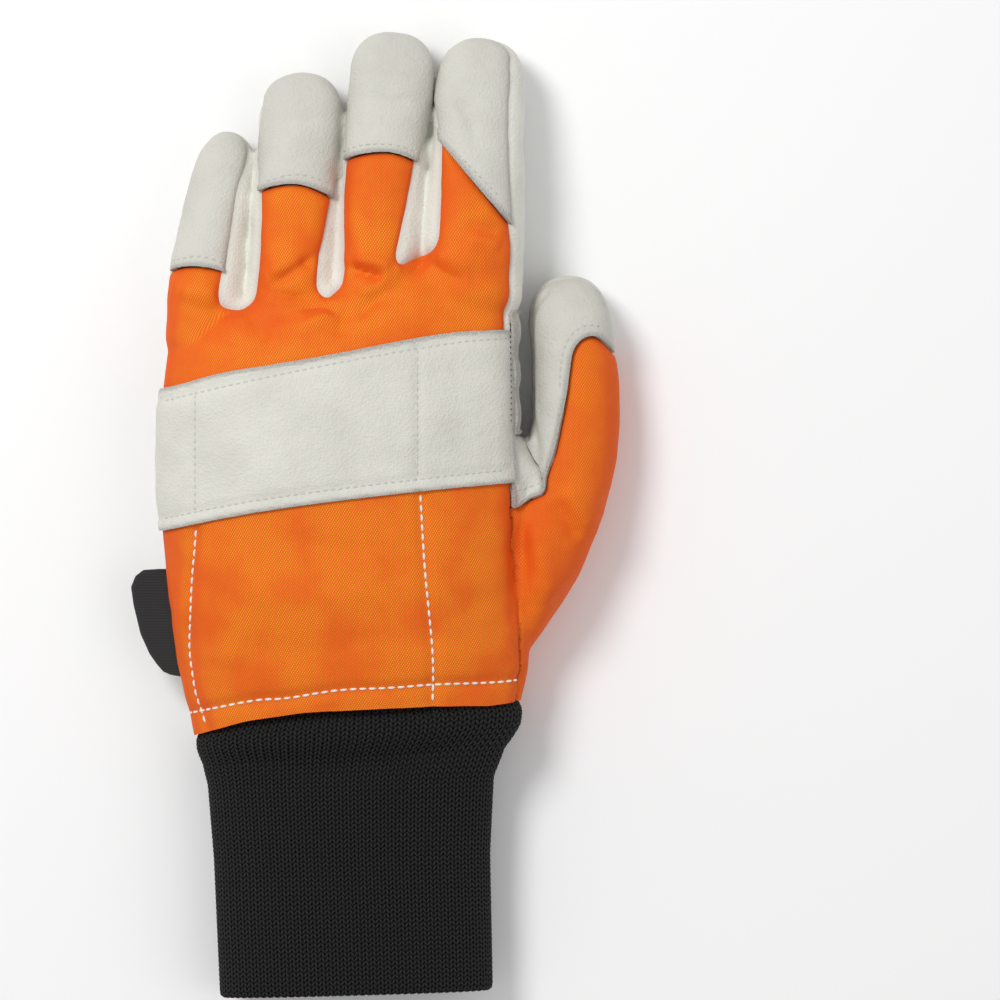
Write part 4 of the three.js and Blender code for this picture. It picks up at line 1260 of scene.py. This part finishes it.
LEATHER = leather("leather", (0.71, 0.70, 0.628), (0.60, 0.59, 0.53))
# the caps get a darker copy of the leather: painted shade, where the tips lie farther from the key light
SHADED_CAP_LEATHER = leather("cap_leather_painted_shade", (0.635, 0.626, 0.562), (0.54, 0.53, 0.477))
# the side strips and the palm's leather, which sit in shade between and beside the fingers, get a lighter
# copy: painted light
LIT_SIDE_LEATHER = leather("side_leather_painted_light", (0.80, 0.79, 0.715), (0.69, 0.68, 0.61))
SUEDE = leather("suede_edge", (0.50, 0.49, 0.45), (0.36, 0.355, 0.33), 0.3)
WOVEN = woven("orange_fabric")
# the thumb's fabric is a copy with less of the painted highlight: painted shade, where the thumb turns away
# from the light
SHADED_THUMB_WOVEN = woven("thumb_fabric_painted_shade", 0.7)
KNIT = yarn("black_knit", (0.0042, 0.0042, 0.0041), (0.019, 0.0185, 0.018), 2.2)
TUBE = yarn("black_knit_base", (0.003, 0.003, 0.003), (0.006, 0.006, 0.006), 2.2)
WHITE_THREAD = yarn("white_thread", (0.88, 0.86, 0.82), (0.70, 0.68, 0.64), 3.0)
GREY_THREAD = yarn("grey_thread", (0.60, 0.595, 0.55), (0.46, 0.455, 0.42), 3.0)
# dark dashes that stand for needle holes, which are not cut: painted shade inside the holes
HOLE_SHADE = Paint("needle_holes", (0.05, 0.048, 0.044), 0.9).material
TAB = tab("label_tab")
print("materials", [material.name for material in bpy.data.materials])

# %% [markdown]
# A finished piece is moved into the part's frame, gets its thickness, and is hung under the root's empty,
# while the nodes that it takes the place of are hidden.

# %% Finish the sewn pieces
PLACED = Matrix.Scale(0.001, 4) @ Matrix.Translation(SHIFT)
FINISHED = []


def finish_piece(bm, name, slot, materials, replaced=(), thickness=0.0, sharp=None, fill=None):
    """Gives a piece its wall, its place, its materials and its node."""
    if thickness:
        for face in bm.faces:
            face.material_index = 0
        rim = len(materials) - 1
        bm = evaluated(bm, name, "SOLIDIFY", thickness=thickness, offset=-1.0, material_offset_rim=rim)
        for vert in bm.verts:
            vert.co.z = max(vert.co.z, 0.0)
    bmesh.ops.transform(bm, matrix=PLACED, verts=bm.verts)
    mesh = bpy.data.meshes.new(name)
    bm.to_mesh(mesh)
    bm.free()
    for material in materials:
        mesh.materials.append(material)
    mesh.shade_smooth()
    if sharp:
        mesh.set_sharp_from_angle(angle=math.radians(sharp))
    piece = bpy.data.objects.new(name, mesh)
    scene.collection.objects.link(piece)
    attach(piece, "root")
    if replaced:
        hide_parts(*replaced)
    FINISHED.append((name, len(mesh.polygons)))
    return piece


outside = bmesh.new()
for piece in SURFACES.values():
    scratch = bpy.data.meshes.new("scratch")
    piece.to_mesh(scratch)
    outside.from_mesh(scratch)
    bpy.data.meshes.remove(scratch)
OUTSIDE = BVHTree.FromBMesh(outside)
outside.free()

# the walls in millimetres, how full the padding is, and the angle from which an edge stays sharp
THICKNESS = {"back_panel": 2.4, "thumb_back": 2.0, "knuckle_band": 1.25, "palm_patch": 1.25}
HIDE_THICKNESS, PADDING_FILL, SHARP_FROM = 1.7, 0.7, 50
CLOTHS = {"back_panel": WOVEN, "thumb_back": SHADED_THUMB_WOVEN}
for name, piece in SURFACES.items():
    if name in CLOTHS:
        slot, looks, fill = "fabric", [CLOTHS[name]], PADDING_FILL
    else:
        side = name.startswith("side_strip") or name == "palm_leather"
        hide = SHADED_CAP_LEATHER if name.endswith("_tip") else LIT_SIDE_LEATHER if side else LEATHER
        slot, looks, fill = "leather", [hide, SUEDE], None
    wall = THICKNESS.get(name, HIDE_THICKNESS)
    finish_piece(piece, "glove_" + name, slot, looks, [name], wall, SHARP_FROM, fill)
print(FINISHED)

# %% [markdown]
# ## Stitches
# A stitch is a short piece of thread that lies on the surface and dips in at both ends. Each one is
# lofted from a few rings along the seam line, after the line was dropped onto the glove.

# %% Sew along lines
WHITE_ROWS = [
    [(198, 529), (197, 545), (194, 575), (193, 590), (192, 615), (190.5, 640), (191, 655), (194, 675),
     (196, 690), (201, 706), (208, 727)],
    [(421, 494), (425, 566), (430, 616), (434, 659), (433, 702)],
    [(189, 713), (203, 710), (259, 698), (286, 698), (339, 688), (389, 687), (434, 683), (498, 682),
     (521, 679)],
]
CAP_ROWS = [
    [(173, 261), (190, 257), (206, 257), (225, 264)],
    [(266, 182), (291, 175), (308, 176), (330, 184)],
    [(343, 151), (365, 145), (394, 145), (420, 154)],
    [(428, 116), (445, 142), (464, 162), (484, 182), (501, 200)],
    [(560, 388), (560, 370), (563, 350), (571, 334), (586, 324), (600, 327)],
    [(517, 490), (530, 487), (544, 481)],
]


ABOVE_ALL, BELOW_ALL = 120, -50


def dropped(line, downwards=True, step=0.35):
    """Drops a flat line onto the glove and returns its places and the surface's normals there."""
    length = np.concatenate([[0], np.cumsum(np.hypot(*(line[1:] - line[:-1]).T))])
    at = np.arange(0, length[-1], step)
    x, y = np.interp(at, length, line[:, 0]), np.interp(at, length, line[:, 1])
    path = []
    height, aim = (ABOVE_ALL, Vector((0, 0, -1))) if downwards else (BELOW_ALL, Vector((0, 0, 1)))
    for px, py in zip(x, y):
        place, normal, _, _ = OUTSIDE.ray_cast(Vector((px, py, height)), aim)
        if place is not None:
            if (normal.z < 0) == downwards:
                normal.negate()
            path.append((place, normal))
    return path


def sew(bm, path, long, pause, thick, rise=0.30, sides=6, rings=6):
    """Lofts one stitch after another along a path. Each one rises in its middle."""
    length = np.concatenate([[0], np.cumsum([(b[0] - a[0]).length for a, b in zip(path, path[1:])])])
    spots = np.array([place[:] for place, _ in path])
    normals = np.array([normal[:] for _, normal in path])

    def on_path(at, table):
        return Vector([np.interp(at, length, table[:, k]) for k in range(3)])

    start, made = pause / 2, 0
    while start + long < length[-1]:
        hoops = []
        for i in range(rings):
            t = i / (rings - 1)
            at = start + t * long
            centre, up = on_path(at, spots), on_path(at, normals).normalized()
            ahead = (on_path(at + 0.2, spots) - on_path(at - 0.2, spots)).normalized()
            side = ahead.cross(up).normalized()
            girth = thick * (0.45 + 0.55 * math.sin(math.pi * t) ** 0.5)
            centre = centre + up * (rise * math.sin(math.pi * t) - 0.12)
            hoops.append([centre + side * girth * math.cos(a) + up * girth * 0.8 * math.sin(a)
                          for a in (2 * math.pi * k / sides for k in range(sides))])
        loft(bm, hoops)
        start += long + pause
        made += 1
    return made


def sewn_piece(name, rows, material, long, pause, thick, slot, downwards=True, rise=0.30):
    """All stitches of one kind as one piece. Returns how many there are."""
    bm = bmesh.new()
    count = 0
    for row in rows:
        path = dropped(row, downwards)
        if len(path) > 12:
            count += sew(bm, path, long, pause, thick, rise)
    bmesh.ops.recalc_face_normals(bm, faces=bm.faces)
    finish_piece(bm, name, slot, [material])
    return count


def patch_row(share):
    """A row of stitches across the patch, at a share of its length."""
    x = np.linspace(-52, 54, 60)
    low = np.interp(x, bottom_line[:, 0], bottom_line[:, 1])
    high = np.interp(x, top_line[:, 0], top_line[:, 1])
    return np.stack([x, low + (high - low) * share], axis=1)


PATCH_ROWS = [patch_row(share) for k in range(RIBS) for share in ((k + 0.14) / RIBS, (k + 0.86) / RIBS)]
white_rows = [drawn(row) for row in WHITE_ROWS]
print("white", sewn_piece("stitches_white", white_rows, WHITE_THREAD, 2.3, 0.75, 0.42, "fabric"))
leather_rows = [drawn(row) for row in BAND_ROWS + CAP_ROWS]
print("leather", sewn_piece("stitches_leather", leather_rows, GREY_THREAD, 1.7, 0.7, 0.3, "leather",
                            rise=0.14))
# the needle holes are dark dashes of painted shade
print("holes", sewn_piece("needle_holes_back", leather_rows, HOLE_SHADE, 0.5, 1.9, 0.24, "leather", rise=0.05))
END_ROW = [drawn([(510, 322), (511, 370), (511, 428)])]
print("end seam", sewn_piece("needle_holes_end", END_ROW, HOLE_SHADE, 0.9, 0.9, 0.3, "leather", rise=0.05))
print("patch", sewn_piece("stitches_patch", PATCH_ROWS, GREY_THREAD, 2.4, 0.9, 0.32, "leather", False, 0.14))

# %% [markdown]
# ## The knitted cuff
# A knit is one loop repeated. Seen from outside, every loop shows as a V of two short legs. One V is
# made once, doubled until it fills a flat sheet, and the sheet is then rolled round the wrist. A bump
# map would be cheaper, but its outline would stay flat.

# %% The surface that the knit is laid on
CUFF_WIDTH, CUFF_LENGTH, CUFF_DEPTH = 88.0, 88.3, 30.0
CUFF_SECTIONS = np.array([
    # down, share of the hand's width, left, right, tilt
    (-0.07, 0.97, -0.5, 0.6, 1.0),
    (0.012, 0.97, -0.5, 0.6, 1.0),
    (0.07, 0.86, -0.5, 0.6, 0.85),
    (0.14, 0.3, -0.49, 0.58, 0.55),
    (0.23, 0.04, -0.48, 0.565, 0.3),
    (0.5, 0.0, -0.46, 0.556, 0.14),
    (0.975, 0.0, -0.438, 0.565, 0.26),
    (1.0, 0.0, -0.438, 0.565, 0.26),
])
# columns of loops round the cuff, and how many places of the grid each one spans
WALES, SMALL = 84, 4


def cuff_ring(down, inset):
    """One ring round the cuff, evenly spaced. It starts as wide as the hand and narrows to the wrist."""
    _, hand_share, left, right, tilt = [np.interp(down, CUFF_SECTIONS[:, 0], column)
                                        for column in CUFF_SECTIONS.T]
    neck = dict(zip(("left", "right", "left_at", "right_at", "floor", "top"), PALM_SECTIONS[1]))
    left = left * CUFF_WIDTH * (1 - hand_share) + neck["left"] * PALM_WIDTH * hand_share
    right = right * CUFF_WIDTH * (1 - hand_share) + neck["right"] * PALM_WIDTH * hand_share
    top = CUFF_DEPTH * (1 - hand_share) + neck["top"] * PALM_DEPTH * hand_share
    skew = (neck["right_at"] - neck["left_at"]) * PALM_LENGTH * tilt
    # the first rings are drawn in, because they run on under the hem of the hand
    tuck = inset + 2.6 * min(max((0.03 - down) / 0.06, 0), 1)
    fine = WALES * SMALL * 4
    across, up = oval(fine, (right - left) / 2 - tuck, top / 2 - tuck)
    x = (left + right) / 2 + across
    y = skew * ((x - left) / (right - left) - 0.5) - down * CUFF_LENGTH
    ring = np.stack([x, y, np.maximum(top / 2 + up, 0.05 + inset)], axis=1)
    step = np.linalg.norm(np.roll(ring, -1, axis=0) - ring, axis=1)
    length = np.concatenate([[0], np.cumsum(step)])
    closed = np.concatenate([ring, ring[:1]])
    at = np.arange(WALES * SMALL) * length[-1] / (WALES * SMALL)
    return np.stack([np.interp(at, length, closed[:, k]) for k in range(3)], axis=1)


# the hem's radius, how far the grid lies inside the cuff's outline, and how thick the hem is doubled
HEM_ROUND, KNIT_INSET, HEM_INSET = 1.5, 0.9, 1.2
downs = list(np.linspace(-0.06, 1 - HEM_ROUND / CUFF_LENGTH, 74))
rings = [cuff_ring(down, KNIT_INSET) for down in downs]
for angle in np.linspace(0.25, 1.0, 4) * math.pi:
    past = 1 - HEM_ROUND / CUFF_LENGTH * (1 - math.sin(angle))
    rings.append(cuff_ring(past, KNIT_INSET + HEM_ROUND * (1 - math.cos(angle)) / 2 * HEM_INSET))
rings += [cuff_ring(down, KNIT_INSET + HEM_ROUND * HEM_INSET) for down in np.linspace(0.96, 0.88, 8)]
GRID = np.array(rings)
print("cuff grid", GRID.shape)

# %% One V, doubled into a sheet
# width and height of one loop, and half the width and the height of its thread
WALE, ROW = 2.5, 1.55
THREAD_WIDTH, THREAD_HEIGHT = 0.47, 0.36
LEG_RINGS = [
    # across as a share of a wale, along as a share of a row, height and girth
    (0.05, -0.25, -0.35, 0.7),
    (0.16, 0.2, 0.28, 1),
    (0.34, 0.75, 0.3, 1),
    (0.46, 1.25, -0.3, 0.7),
]


def leg(bm, side):
    """One leg of a V: a short thread that leans to one side."""
    hoops = []
    for x, y, h, girth in LEG_RINGS:
        centre = Vector((side * x * WALE + WALE / 2, y * ROW, h))
        ahead = Vector((side * 0.42 * WALE, 1.5 * ROW, 0)).normalized()
        flat = ahead.cross(Vector((0, 0, 1)))
        across, up = flat * THREAD_WIDTH * girth, Vector((0, 0, THREAD_HEIGHT)) * girth
        hoops.append([centre + across * math.cos(a) + up * math.sin(a)
                      for a in (2 * math.pi * k / 4 + math.pi / 4 for k in range(4))])
    loft(bm, hoops)


def doubled(bm, count, step):
    """Repeats all that is there, in one direction, by copying it again and again."""
    points = len(bm.verts)
    have = 1
    while have < count:
        more = min(have, count - have)
        source = bm.verts[:] + bm.edges[:] + bm.faces[:]
        if more < have:
            kept = set(bm.verts[:points * more])
            source = [item for item in source if kept.issuperset(getattr(item, "verts", [item]))]
        made = bmesh.ops.duplicate(bm, geom=source)["geom"]
        fresh = [item for item in made if isinstance(item, bmesh.types.BMVert)]
        bmesh.ops.translate(bm, verts=fresh, vec=Vector(step) * have)
        bm.verts.ensure_lookup_table()
        have += more


def knit_piece(name, first_row, row_count, replaced):
    """Rows of loops, laid on the grid. One row of loops spans a fixed share of the grid's rows."""
    bm = bmesh.new()
    leg(bm, 1)
    leg(bm, -1)
    bm.verts.ensure_lookup_table()
    doubled(bm, WALES, (WALE, 0, 0))
    doubled(bm, row_count, (0, ROW, 0))
    bmesh.ops.recalc_face_normals(bm, faces=bm.faces)
    flat = places(bm)
    u = flat[:, 0] / WALE * SMALL
    v = np.clip((flat[:, 1] / ROW + first_row) * (len(GRID) - 1) / ROWS, 0, len(GRID) - 1.001)
    around, down = u.astype(int), v.astype(int)
    fu, fv = (u - around)[:, None], (v - down)[:, None]
    i, j = around % GRID.shape[1], (around + 1) % GRID.shape[1]

    def blend(table):
        upper = table[down, i] * (1 - fu) + table[down, j] * fu
        lower = table[down + 1, i] * (1 - fu) + table[down + 1, j] * fu
        return upper * (1 - fv) + lower * fv

    laid_out = blend(GRID) + blend(GRID_NORMAL) * flat[:, 2:3]
    laid_out[:, 2] = np.maximum(laid_out[:, 2], 0)
    for vert, place in zip(bm.verts, laid_out):
        vert.co = place
    finish_piece(bm, name, "knit", [KNIT], replaced)


# %% Turn the grid's normals outwards, fold it, and knit
lengthwise = np.gradient(GRID, axis=0)
crosswise = np.roll(GRID, -1, axis=1) - np.roll(GRID, 1, axis=1)
GRID_NORMAL = np.cross(lengthwise, crosswise)
GRID_NORMAL /= np.linalg.norm(GRID_NORMAL, axis=2)[:, :, None]
middle = len(downs) // 2
outwards = ((GRID[middle] - GRID[middle].mean(axis=0)) * GRID_NORMAL[middle]).sum() > 0
GRID_NORMAL = GRID_NORMAL if outwards else -GRID_NORMAL
grid_facing = np.clip(GRID_NORMAL.reshape(-1, 3)[:, 2] * 1.5, 0, 1)
fold_height = strokes(GRID.reshape(-1, 3), grid_facing, CUFF_FOLDS).reshape(GRID.shape[:2])
fold_height[len(downs):] = 0
GRID = GRID + GRID_NORMAL * fold_height[:, :, None]
path_length = np.linalg.norm(np.diff(GRID[:, 0], axis=0), axis=1).sum()
ROWS = int(path_length / ROW)
knit_piece("cuff_knit_upper", 0, ROWS // 2, ["cuff"])
knit_piece("cuff_knit_lower", ROWS // 2, ROWS - ROWS // 2, [])
print("rows", ROWS, "wales", WALES)

# %% The tube behind the loops, with its lining
# how far the lining lies inside the cuff's outline, and how high above the floor at least
LINING_INSET, LINING_FLOOR = 3.4, 1.6
tube = bmesh.new()
wall = [[Vector(p) for p in ring[::2]] for ring in (GRID - GRID_NORMAL * 0.35)[::2]]
lining = [[Vector((x, y, max(z, LINING_FLOOR))) for x, y, z in cuff_ring(down, LINING_INSET)[::2]]
          for down in np.linspace(0.9, -0.06, 24)]
loft(tube, wall + lining + [wall[0]], capped=False)
bmesh.ops.remove_doubles(tube, verts=tube.verts, dist=0.001)
bmesh.ops.recalc_face_normals(tube, faces=tube.faces)
finish_piece(tube, "cuff_tube", "knit", [TUBE])

# %% [markdown]
# ## The side tab
# A folded woven tab is sewn into the outer seam. It is a flat shape, extruded, with rounded edges.

# %% The bare woven tab
TAB_SHAPE = [(172, 569), (158, 569), (143, 570), (135, 576), (130.5, 587), (133, 605), (140, 634), (149, 654),
             (156, 664), (163, 672), (170, 675), (182, 677)]
TAB_HEIGHT, TAB_THICKNESS = 17.0, 1.1
TAB_BEVEL, TAB_BORDER, TAB_SUNK = 0.3, 1.1, -0.18
tab_mesh = bmesh.new()
circle = bmesh.ops.create_circle(tab_mesh, cap_ends=True, segments=len(TAB_SHAPE), radius=1.0)
for vert, (px, py) in zip(circle["verts"], TAB_SHAPE):
    vert.co = (*spot(px, py), TAB_HEIGHT - TAB_THICKNESS)
grown = bmesh.ops.extrude_face_region(tab_mesh, geom=tab_mesh.faces[:])["geom"]
raised = [item for item in grown if isinstance(item, bmesh.types.BMVert)]
bmesh.ops.translate(tab_mesh, verts=raised, vec=(0, 0, TAB_THICKNESS))
bmesh.ops.bevel(tab_mesh, geom=tab_mesh.edges[:], offset=TAB_BEVEL, segments=2, profile=0.5, affect="EDGES",
                material=-1)
top = max(tab_mesh.faces, key=lambda face: face.calc_center_median().z * 1000 + face.calc_area())
bmesh.ops.inset_region(tab_mesh, faces=[top], thickness=TAB_BORDER, depth=TAB_SUNK)
bmesh.ops.recalc_face_normals(tab_mesh, faces=tab_mesh.faces)
finish_piece(tab_mesh, "glove_side_label", "label", [TAB], ["side_label"], sharp=40)

# %% The floor
floor_mesh = bmesh.new()
bmesh.ops.create_grid(floor_mesh, x_segments=1, y_segments=1, size=3.0)
mesh = bpy.data.meshes.new("floor")
floor_mesh.to_mesh(mesh)
floor_mesh.free()
mesh.materials.append(Paint("floor_white", (0.97, 0.97, 0.97), 0.9).material)
floor = bpy.data.objects.new("floor", mesh)
floor.location.z = -0.0005
scene.collection.objects.link(floor)
floor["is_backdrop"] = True

sizes = {name: [[round(float(c), 5) for c in corner] for corner in box]
         for name, box in (("cad", cad_box), ("visual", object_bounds()))}
print(sizes)
